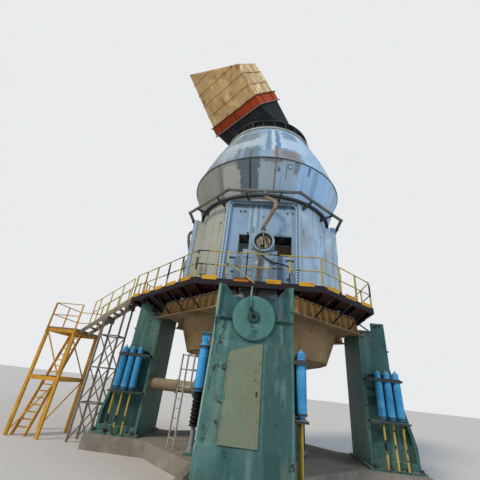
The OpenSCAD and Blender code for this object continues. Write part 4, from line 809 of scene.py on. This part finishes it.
def make_studio():
    """A pale floor, an even pale surround, a soft sun from the left and one from the right."""
    scene = bpy.context.scene
    scene.view_settings.view_transform = "Standard"
    world = bpy.data.worlds.new("studio")
    scene.world = world
    world.use_nodes = True
    tree = world.node_tree
    back = tree.nodes["Background"]
    back.inputs["Color"].default_value = linear("#d9e3f1")
    back.inputs["Strength"].default_value = 0.54
    seen = add(tree, "Background", {"Color": linear("#eef0f1"), "Strength": 0.95})
    rays = add(tree, "LightPath").outputs
    shown = math_node(tree, "MAXIMUM", rays["Is Camera Ray"], rays["Is Transmission Ray"])
    both = add(tree, "MixShader", {0: shown, 1: back.outputs[0], 2: seen.outputs[0]})
    tree.links.new(both.outputs[0], tree.nodes["World Output"].inputs[0])
    for name, energy, colour, tilt, turn, spread in (
            ("key_sun", 1.9, "#fff3e3", 50, -38, 14), ("fill_sun", 1.0, "#cfe0fb", 62, 55, 40)):
        lamp = bpy.data.lights.new(name, "SUN")
        lamp.energy = energy
        lamp.color = linear(colour)[:3]
        lamp.angle = math.radians(spread)
        sun = bpy.data.objects.new(name, lamp)
        sun.rotation_euler = (math.radians(tilt), 0, math.radians(turn))
        scene.collection.objects.link(sun)
    half = 160
    floor_mesh = bpy.data.meshes.new("floor")
    floor_mesh.from_pydata([(-half, -half, 0), (half, -half, 0), (half, half, 0), (-half, half, 0)],
                           [], [(0, 1, 2, 3)])
    floor = bpy.data.objects.new("floor", floor_mesh)
    scene.collection.objects.link(floor)
    floor_look = bpy.data.materials.new("pale_floor")
    floor_look.use_nodes = True
    shader = floor_look.node_tree.nodes["Principled BSDF"]
    shader.inputs["Base Color"].default_value = linear("#cfccc6")
    shader.inputs["Roughness"].default_value = 0.9
    floor_mesh.materials.append(floor_look)


make_camera()
make_studio()


# Door flanges: bolts along the line of the flange, and lifting pads on the panel
FLANGE_MID = 0.085
BOLT_PITCH = 0.122


def door_line(inset, corner):
    """Points [x, z] evenly spaced along an arch: up one side, round the corners and over."""
    half, head = DOOR_HALF - inset, DOOR_TOP - inset
    bend = np.linspace(0, math.pi / 2, 12)
    left = [[-half, DECK_Z + 0.12]] + [[-half + corner - corner * math.cos(a),
                                        head - corner + corner * math.sin(a)] for a in bend]
    line = np.array(left + [[-x, z] for x, z in reversed(left)])
    run = np.concatenate([[0], np.cumsum(np.linalg.norm(np.diff(line, axis=0), axis=1))])
    at = np.linspace(0, run[-1], int(run[-1] / BOLT_PITCH))
    return np.stack([np.interp(at, run, line[:, 0]), np.interp(at, run, line[:, 1])], 1)


line = door_line(FLANGE_MID, 0.2)
door_bolts = np.stack([line[:, 0], np.full(len(line), -DOOR_FACE), line[:, 1]], 1)
hex_heads("door_flange_bolts", all_sides(door_bolts),
          all_sides(np.tile([[0, -1, 0]], (len(line), 1))), 0.044, 0.032)


def ring_pad(centre, outward, size, thick):
    """A lifting pad: a flat ring with a rounded square outline whose radius is size over the
    fourth root of cos^4 + sin^4 of the angle, round a hole of 0.4 size."""
    side, up, out = across(np.asarray([outward], float))
    angle = np.arange(16) * math.pi / 8
    outer = size / (np.cos(angle) ** 4 + np.sin(angle) ** 4) ** 0.25
    rings = [(outer, 0.0), (outer, thick), (np.full(16, size * 0.4), thick),
             (np.full(16, size * 0.4), 0.0)]
    spots = [np.asarray(centre, float) + r[:, None] * (np.cos(angle)[:, None] * side
             + np.sin(angle)[:, None] * up) + h * out for r, h in rings]
    return np.concatenate(spots), grid_faces(4, 16, close_rows=True)


pads = []
PAD_Z = 9.75
for side in SIDES:
    for x, z, size in ((-1.036, PAD_Z, 0.036), (-0.844, PAD_Z, 0.036), (1.159, PAD_Z, 0.036),
                       (1.397, PAD_Z, 0.036), (-0.62, HUB_Z + 0.62, 0.045)):
        pads.append(ring_pad(turned([[x, -PANEL_PLANE, z]], side)[0], turned([[0, -1, 0]], side)[0],
                             size, 0.04))
piece("door_lifting_pads", *join(pads), dark_steel, "dark_steel")

# Raised ring round each pair of lifting pads, a thin arc over them
arcs = []
for side in SIDES:
    for x in (-0.94, 1.278):
        bend = np.linspace(math.radians(20), math.radians(160), 15)
        arc = np.stack([x + 0.17 * np.cos(bend), np.full(15, -PANEL_PLANE - 0.004),
                        PAD_Z - 0.03 + 0.12 * np.sin(bend)], 1)
        arcs.append(tube(turned(arc, side), 0.011, 6))
piece("door_pad_arcs", *join(arcs), door_paint, "door_paint", smooth=True)

# Seams: a weld bead down the casing, the band and the cone at every plate joint
PLATES = 16


def meridian(angle, heights, radii):
    a = math.radians(angle)
    return np.stack([radii * math.sin(a), -radii * math.cos(a), heights], 1)


def cone_radius(share):
    """Radius of the cone at a share of its height: a straight line plus half a sine."""
    return GIRTH_R + (CONE_TOP_R - GIRTH_R) * share + CONE_BELLY * np.sin(np.pi * share)


beads = []
share = np.linspace(0, 1, 9)
for k in range(PLATES):
    turn = (k + 0.5) * 360 / PLATES
    band_r = BAND_LOW_R + (GIRTH_R - BAND_LOW_R) * share[[0, -1]]
    beads.append(tube(meridian(turn, np.array([BAND_LOW, BAND_TOP]), band_r), 0.011, 6))
    beads.append(tube(meridian(turn + 360 / PLATES / 2, CONE_LOW + (CONE_TOP - CONE_LOW) * share,
                               cone_radius(share)), 0.009, 6))
for turn in (32, 45, 58, 122, 135, 148, 212, 225, 238, 302, 315, 328):
    beads.append(tube(meridian(turn, np.array([FLANGE_Z + 0.42, CASING_TOP]),
                               np.array([CASING_R, CASING_R])), 0.014, 6))
piece("plate_seams", *join(beads), band_paint, "band_paint", smooth=True)

# Bolts round the flanges
hex_heads("casing_flange_bolts", circle_places(CASING_R + 0.1, 96, CASING_TOP, 0.5), (0, 0, -1),
          0.06, 0.045)
flange_places = circle_places(4.55, 144, FLANGE_Z, 0.25)
near_stand = np.abs(flange_places[:, :2]).max(1) > 4.55 * math.cos(math.radians(13))
hex_heads("base_flange_bolts", flange_places[near_stand], (0, 0, 1), 0.06, 0.045)
# Nuts on the edge of the tie beams' top plates, pale against the deck's shadow
TIE_EDGE, TIE_TOP = 4.10, DECK_Z - 0.30
nut_y = np.linspace(-1.95, 1.95, 14)
nuts = np.stack([np.full(14, TIE_EDGE), nut_y, np.full(14, TIE_TOP)], 1)
hex_heads("tie_beam_nuts", np.concatenate([turned(nuts, side + 45) for side in SIDES]),
          np.concatenate([turned(np.tile([[1, 0, 0]], (14, 1)), side + 45) for side in SIDES]),
          0.05, 0.03, offwhite_paint, "offwhite_paint")
hex_heads("neck_flange_bolts", circle_places(NECK_R + 0.16, 48, NECK_TOP - 0.06, 0.5), (0, 0, -1),
          0.055, 0.04)

# Bearing covers: a grease pipe from under the deck down in front of each, with its fitting
FITTING = [(0.062, -0.001), (0.062, 0.05), (0.04, 0.07), (0.04, 0.11), (0.004, 0.11),
           (0.004, -0.001)]
pipes, fittings = [], []
for side in SIDES:
    path = [[-0.16, -4.87, DECK_Z - 0.2], [-0.15, -5.2, DECK_Z - 0.42],
            [-0.14, -5.62, DECK_Z - 0.68],
            [-0.12, -COVER_FACE - 0.07, DECK_Z - 0.85], [-0.105, -COVER_FACE - 0.06, DECK_Z - 1.15]]
    pipes.append(tube(turned(smooth_path(path, 6), side), 0.036, 10))
    out = turned([[0, -1, 0]], side)[0]
    for x, z in ((-0.105, DECK_Z - 1.2), (-0.04, COVER_Z + 0.12)):
        fittings.append(revolve(FITTING, turned([[x, -COVER_FACE, z]], side)[0], out, 12))
piece("bearing_grease_pipes", *join(pipes), cover_paint, "cover_paint", smooth=True)
piece("bearing_fittings", *join(fittings), dark_green, "dark_steel")

# Hub ends: a rolled rim that narrows each tube, a black seal round its cap, and the thin hose that
# comes down from the spigot over the cap and across the lever cover
RIM = [(0.384, -0.09), (0.428, -0.09), (0.428, 0.002), (0.476, 0.002), (0.482, 0.014),
       (0.472, 0.03), (0.396, 0.03), (0.384, 0.02)]
SEAL = [(0.312, -0.069), (0.374, -0.069), (0.374, -0.04), (0.362, -0.03), (0.324, -0.03),
        (0.312, -0.04)]
HUB_HOSE = ((0.09, 0.02, 8.52), (0.095, -0.06, 8.4), (0.1, -0.05, 8.17), (-0.027, -0.04, 7.985),
            (-0.03, -0.05, 7.75), (0.037, -0.05, 7.451), (0.146, -0.02, 7.3), (0.286, 0, 7.21),
            (0.53, 0.02, 7.08), (0.797, 0.04, 7.04), (1.15, 0.1, 6.97), (1.28, 0.36, 6.93))
rims, seals, lines = [], [], []
for side in SIDES:
    centre = turned([[HUB_X, -HUB_FACE, HUB_Z]], side)[0]
    out = turned([[0, -1, 0]], side)[0]
    rims.append(revolve(RIM, centre, out, 48))
    seals.append(revolve(SEAL, centre, out, 48))
    path = [[x, -HUB_FACE + y, z] for x, y, z in HUB_HOSE] + [[1.3, -PANEL_PLANE + 0.02, 6.92]]
    lines.append(tube(turned(smooth_path(path, 6), side), 0.03, 8))
piece("hub_rims", *join(rims), hub_paint, "hub_paint", smooth=True)
piece("hub_seals", *join(seals), black_rubber, "hose_rubber", smooth=True)
piece("hub_grease_hoses", *join(lines), grease_hose, "hose_rubber", smooth=True)

# Seal air hoses: ribbed rubber with clamped collars at both ends
HOSE_X, HOSE_SWING, HOSE_BULGE, HOSE_R = 0.08, 0.495, 0.19, 0.084
HOSE_ROUTE = ((0, 0, 1), (0, 0, 0.95), (0.44, 0.3, 0.87), (0.91, 0.65, 0.77), (1, 1, 0.64),
              (0.79, 1, 0.48), (0.44, 0.75, 0.28), (0.1, 0.28, 0.13), (0, 0, 0.05), (0, 0, 0))
HOSE_TOP, HOSE_LOW = RING_Z - 0.2303, HUB_Z + HUB_R + 0.1153
SPIGOT_Y = PANEL_PLANE + 0.38


def seal_hose():
    """The route's shares of swing, bulge and height as a curve, with a rib every 55 mm: the radius
    swells and shrinks as a sine along the hose."""
    s = np.array(HOSE_ROUTE, float)
    points = np.stack([HOSE_X + HOSE_SWING * s[:, 0],
                       -(SPIGOT_Y + (RING_IN - SPIGOT_Y) * s[:, 2]) - HOSE_BULGE * s[:, 1],
                       HOSE_LOW + (HOSE_TOP - HOSE_LOW) * s[:, 2]], 1)
    path = smooth_path(points, 30)
    run = np.concatenate([[0], np.cumsum(np.linalg.norm(np.diff(path, axis=0), axis=1))])
    return path, HOSE_R * (0.96 + 0.05 * np.sin(run * 2 * math.pi / 0.055))


path, ribbed = seal_hose()
hoses = [tube(turned(path, side), ribbed, 20) for side in SIDES]
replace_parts(piece("ribbed_seal_hoses", *join(hoses), hose_rubber, "hose_rubber", smooth=True),
            "seal_air_hoses")
collar = [(0.078, -0.02), (0.118, -0.02), (0.118, 0.03), (0.104, 0.035), (0.104, 0.09),
          (0.078, 0.09)]
collars = []
for side in SIDES:
    for centre, direction in ((path[0], (0, 0, -1)), (path[-1], (0, 0, 1))):
        collars.append(revolve(collar, turned([centre], side)[0], direction, 24))
piece("hose_collars", *join(collars), dark_steel, "dark_steel")

# Hydraulics: clamp rings on the bottles, pressure lines along the pull cylinders
BOTTLE_X, BOTTLE_Y, BOTTLE_R = 1.48, (5.04, 5.39, 5.74), 0.14
CYLINDER_X, CYLINDER_Y, CYLINDER_R = -1.52, 5.2, 0.16
BOTTLE_RING_Z = 3.4
bottle_low = low("accumulator_bottles")
flanks = ((0, 1), (270, 1), (90, -1), (180, -1))
# The line's places beside the cylinder: out from its axis, forward of it, height
LINE_ROUTE = ((0.14, 0.02, 3.66), (0.2, 0.1, 3.62), (0.21, 0.12, 3.5), (0.205, 0.12, 3.0),
              (0.205, 0.12, 2.3), (0.24, 0.06, 1.6), (0.25, 0.06, 0.96))


def strap(inner, outer, height):
    return [(inner, 0), (outer, 0), (outer, height), (inner, height)]


ring = strap(BOTTLE_R - 0.004, BOTTLE_R + 0.014, 0.05)
band = strap(CYLINDER_R + 0.002, CYLINDER_R + 0.022, 0.07)
clamps, pressure = [], []
for side, flank in flanks:
    for y in BOTTLE_Y:
        for z in (bottle_low + 0.1, BOTTLE_RING_Z):
            centre = turned([[flank * BOTTLE_X, -y, z]], side)[0]
            clamps.append(revolve(ring, centre, (0, 0, 1), 28))
    x = flank * CYLINDER_X
    for z in (2.41, 3.58):
        clamps.append(revolve(band, turned([[x, -CYLINDER_Y, z]], side)[0], (0, 0, 1), 28))
    run = [[x + flank * out, -CYLINDER_Y - ahead, z] for out, ahead, z in LINE_ROUTE]
    pressure.append(tube(turned(smooth_path(run, 6), side), 0.024, 8))
piece("hydraulic_clamps", *join(clamps), dark_steel, "dark_steel")
piece("pressure_lines", *join(pressure), black_rubber, "hose_rubber", smooth=True)

# Inspection panels: bolts down both edges and a painted line; lugs and rings on the foot beside
PANEL_LOW, PANEL_TOP = low("inspection_panels"), top("inspection_panels")
PANEL_HALF, PANEL_X = 0.51, -0.17
SLOPE = 0.600 / 2.550


def on_panel(x, z, lift=0.0):
    """A point on the sloping panel: its y goes back by the slope as z grows."""
    y = -(FOOT_OUT - (z - 1.28) * SLOPE + 0.045 + lift)
    return np.stack(np.broadcast_arrays(x, y, z), -1)


edge_z = np.linspace(PANEL_LOW + 0.1, PANEL_TOP - 0.55, 5)
panel_bolts = np.concatenate([on_panel(PANEL_X - PANEL_HALF + 0.05, edge_z),
                              on_panel(PANEL_X + PANEL_HALF - 0.05, edge_z)])
outward = np.array([[0, -1, SLOPE]]) / math.hypot(1, SLOPE)
hex_heads("panel_bolts", all_sides(panel_bolts), all_sides(np.tile(outward, (len(panel_bolts), 1))),
          0.034, 0.02, panel_olive, "panel_olive")
lugs, rings = [], []
for side in SIDES:
    out = turned(outward, side)[0]
    for x, z, size, group in ((-0.755, 3.08, 0.066, lugs), (-0.74, 2.34, 0.12, rings),
                              (-0.78, 2.3, 0.075, rings)):
        group.append(ring_pad(turned([on_panel(x, z, -0.046)], side)[0], out, size, 0.05))
piece("foot_lugs", *join(lugs), dark_green, "dark_steel")
plugs = [revolve([(0.001, -0.001), (0.032, -0.001), (0.032, 0.02), (0.001, 0.026)],
                 turned([on_panel(-0.752, 3.085, -0.04)], side)[0], turned(outward, side)[0], 12)
         for side in SIDES]
piece("foot_lug_plugs", *join(plugs), offwhite_paint, "offwhite_paint")
piece("foot_lifting_rings", *join(rings), stand_paint, "stand_paint")


def painted_line():
    """A thin strip that leans with the height, its two edges wandering by a small sum of sines."""
    z = np.linspace(PANEL_LOW + 0.02, PANEL_TOP - 0.09, 60)
    wander = 0.006 * np.sin(z * 23) + 0.004 * np.sin(z * 61 + 1)
    lean = 0.081 * (z - PANEL_TOP)
    left, right = lean - 0.035 + wander, lean + 0.02 + wander[::-1]
    rows = [on_panel(left, z, 0.0), on_panel(left, z, 0.002), on_panel(right, z, 0.002),
            on_panel(right, z, 0.0)]
    points = np.stack(rows, 1).reshape(-1, 3)
    last = len(points) - 4
    return points, grid_faces(60, 4) + [[0, 1, 2, 3], [last + 3, last + 2, last + 1, last]]


strip = painted_line()
piece("painted_lines", *join([(turned(strip[0], side), strip[1]) for side in SIDES]), stripe_yellow,
      "panel_olive")


def rounded_box(low_corner, high_corner, soft):
    """A box with soft edges: at each level an outline whose x and y are signed square roots of
    cosine and sine, drawn in by soft at the two ends."""
    a, b = np.asarray(low_corner, float), np.asarray(high_corner, float)
    angle = (np.arange(24) + 0.5) * math.pi / 12
    ux = np.sign(np.cos(angle)) * np.abs(np.cos(angle)) ** 0.3
    uy = np.sign(np.sin(angle)) * np.abs(np.sin(angle)) ** 0.3
    half, mid = (b - a) / 2, (a + b) / 2
    levels = ((a[2], soft), (a[2] + soft, 0), (b[2] - soft, 0), (b[2], soft))
    points = np.concatenate([
        np.stack([mid[0] + (half[0] - inset) * ux, mid[1] + (half[1] - inset) * uy,
                  np.full(24, z)], 1) for z, inset in levels])
    return points, grid_faces(4, 24) + [list(range(24))[::-1], list(range(72, 96))]


# A small cabinet on the deck: its body, its door and its foot
cabinet = [rounded_box((-2.3, -4.66, DECK_Z + 0.2), (-2.04, -4.44, DECK_Z + 0.68), 0.012),
           rounded_box((-2.28, -4.675, DECK_Z + 0.22), (-2.06, -4.65, DECK_Z + 0.66), 0.006),
           rounded_box((-2.2, -4.58, DECK_Z - 0.002), (-2.14, -4.52, DECK_Z + 0.21), 0.004)]
piece("deck_cabinet", *join(cabinet), offwhite_paint, "offwhite_paint")

# Anchor bolts through the sole plates
anchor = np.array([[x, -y, low("stand_front") + 0.08] for x in (-1.33, 1.33)
                   for y in (4.65, 5.2, 5.75, 6.25)])
hex_heads("anchor_bolts", all_sides(anchor), (0, 0, 1), 0.11, 0.09)

# Expansion frame and cladding, in the outlet's own axes
OUTLET_L, OUTLET_W, FRAME_H = 4.2, 2.6, 0.64
DUCT_H, DUCT_TAPER, DUCT_MITRE = 3.1, 0.4, math.radians(25)


def rectangle_places(half_x, half_y, spacing):
    xs = np.linspace(-half_x, half_x, int(2 * half_x / spacing) + 1)
    ys = np.linspace(-half_y, half_y, int(2 * half_y / spacing) + 1)[1:-1]
    return np.concatenate([[[x, s * half_y] for x in xs for s in (-1, 1)],
                           [[s * half_x, y] for y in ys for s in (-1, 1)]])


flat = rectangle_places(OUTLET_L / 2 + 0.045, OUTLET_W / 2 + 0.045, 0.2)
for name, sign in (("frame_bolts_low", -1), ("frame_bolts_top", 1)):
    places = from_outlet(np.column_stack([flat, np.full(len(flat), sign * FRAME_H / 2)]))
    facing = from_outlet([[0, 0, sign]]) - OUTLET_AT
    hex_heads(name, places, facing, 0.05, 0.035)


DUCT_X, DUCT_Y = OUTLET_L / 2 - 0.06, OUTLET_W / 2 - 0.06
DUCT_SHRINK = DUCT_TAPER / DUCT_H / 2
DUCT_SLANT = math.tan(DUCT_MITRE)
SHEET = 0.78


def duct_length(share):
    """Length of the duct to its mitre where x is this share of the half size."""
    return (DUCT_H - share * DUCT_X * DUCT_SLANT) / (1 - share * DUCT_SHRINK * DUCT_SLANT)


def clad_skin():
    """The duct's sheet cladding: round the perimeter of a rectangle that shrinks along the duct and
    ends at the mitre, pushed out by long folds, dents and a raised lap at every sheet joint."""
    cols, rows = 264, 120
    u = np.arange(cols) / cols * 4
    side = np.floor(u).astype(int)
    t = (u - side) * 2 - 1
    px = np.choose(side, [t, np.ones(cols), -t, -np.ones(cols)])
    py = np.choose(side, [-np.ones(cols), t, np.ones(cols), -t])
    corner = np.clip((1 - np.abs(t)) / 0.06, 0, 1)
    px, py = px * (1 - 0.004 * (1 - corner)), py * (1 - 0.004 * (1 - corner))
    v = np.linspace(0, 1, rows)[:, None]
    length = duct_length(px)
    z = v * length[None]
    wide, deep = DUCT_X - DUCT_SHRINK * z, DUCT_Y - DUCT_SHRINK * z
    x, y = px[None] * wide, py[None] * deep
    nx = np.choose(side, [0, 1, 0, -1])[None] * np.ones_like(z)
    ny = np.choose(side, [-1, 0, 1, 0])[None] * np.ones_like(z)
    along = np.where(np.abs(nx) > 0, y, x)
    fold = (0.03 * np.sin(along * 6.0 + 1.3 * side + 0.8 * np.sin(z * 1.9 + side))
            + 0.014 * np.sin(along * 15 + z * 2.3 + 2.1 * side)
            + 0.006 * np.sin(along * 31 - z * 4))
    dent = 0.02 * np.sin(along * 2.3 + side) * np.sin(z * 3.1 + 0.6 * side)
    phase = np.abs((z / SHEET) % 1 - 0.5) * 2
    quiet = np.clip((1 - phase) / 0.25, 0, 1)
    lap = 0.03 * np.exp(-((1 - phase) * SHEET / 2 / 0.03) ** 2)
    lift = 0.012 + (fold + dent) * quiet * corner[None] + lap
    end = np.clip(np.minimum(z, length[None] - z) / 0.12, 0, 1)
    lift = lift * (0.25 + 0.75 * end)
    points = np.stack([x + nx * lift, y + ny * lift, z + FRAME_H / 2 + 0.0003], -1).reshape(-1, 3)
    # the two ends close on a middle point each
    last = (rows - 1) * cols
    low_mid, far_mid = points[:cols].mean(0), points[last:].mean(0)
    points = np.vstack([points, low_mid, far_mid])
    ring, nxt = np.arange(cols), (np.arange(cols) + 1) % cols
    low_fan = np.stack([nxt, ring, np.full(cols, rows * cols)], 1).tolist()
    far_fan = np.stack([last + ring, last + nxt, np.full(cols, rows * cols + 1)], 1).tolist()
    return from_outlet(points), grid_faces(rows, cols) + low_fan + far_fan


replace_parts(piece("duct_cladding", *clad_skin(), cladding, "cladding", smooth=True), "clad_duct")
# Dark seams over the laps of the sheets, as far round as the mitre leaves the sheet
seams = []
corners = np.array([[1, 0], [1, 1], [-1, 1], [-1, -1], [1, -1], [1, 0]], float)
t = np.linspace(0, 5, 101)
px, py = (np.interp(t, np.arange(6), corners[:, k]) for k in (0, 1))
for z in (0.78, 1.56, 2.34, 3.12, 3.9):
    keep = duct_length(px) > z + 0.05
    if keep.sum() < 8:
        continue
    over = 0.032 - DUCT_SHRINK * z
    loop = np.stack([px * (DUCT_X + over), py * (DUCT_Y + over), np.full(101, z + FRAME_H / 2)], 1)
    seams.append(tube(from_outlet(loop[keep]), 0.018, 6))
piece("duct_seams", *join(seams), seam_brown, "cladding")
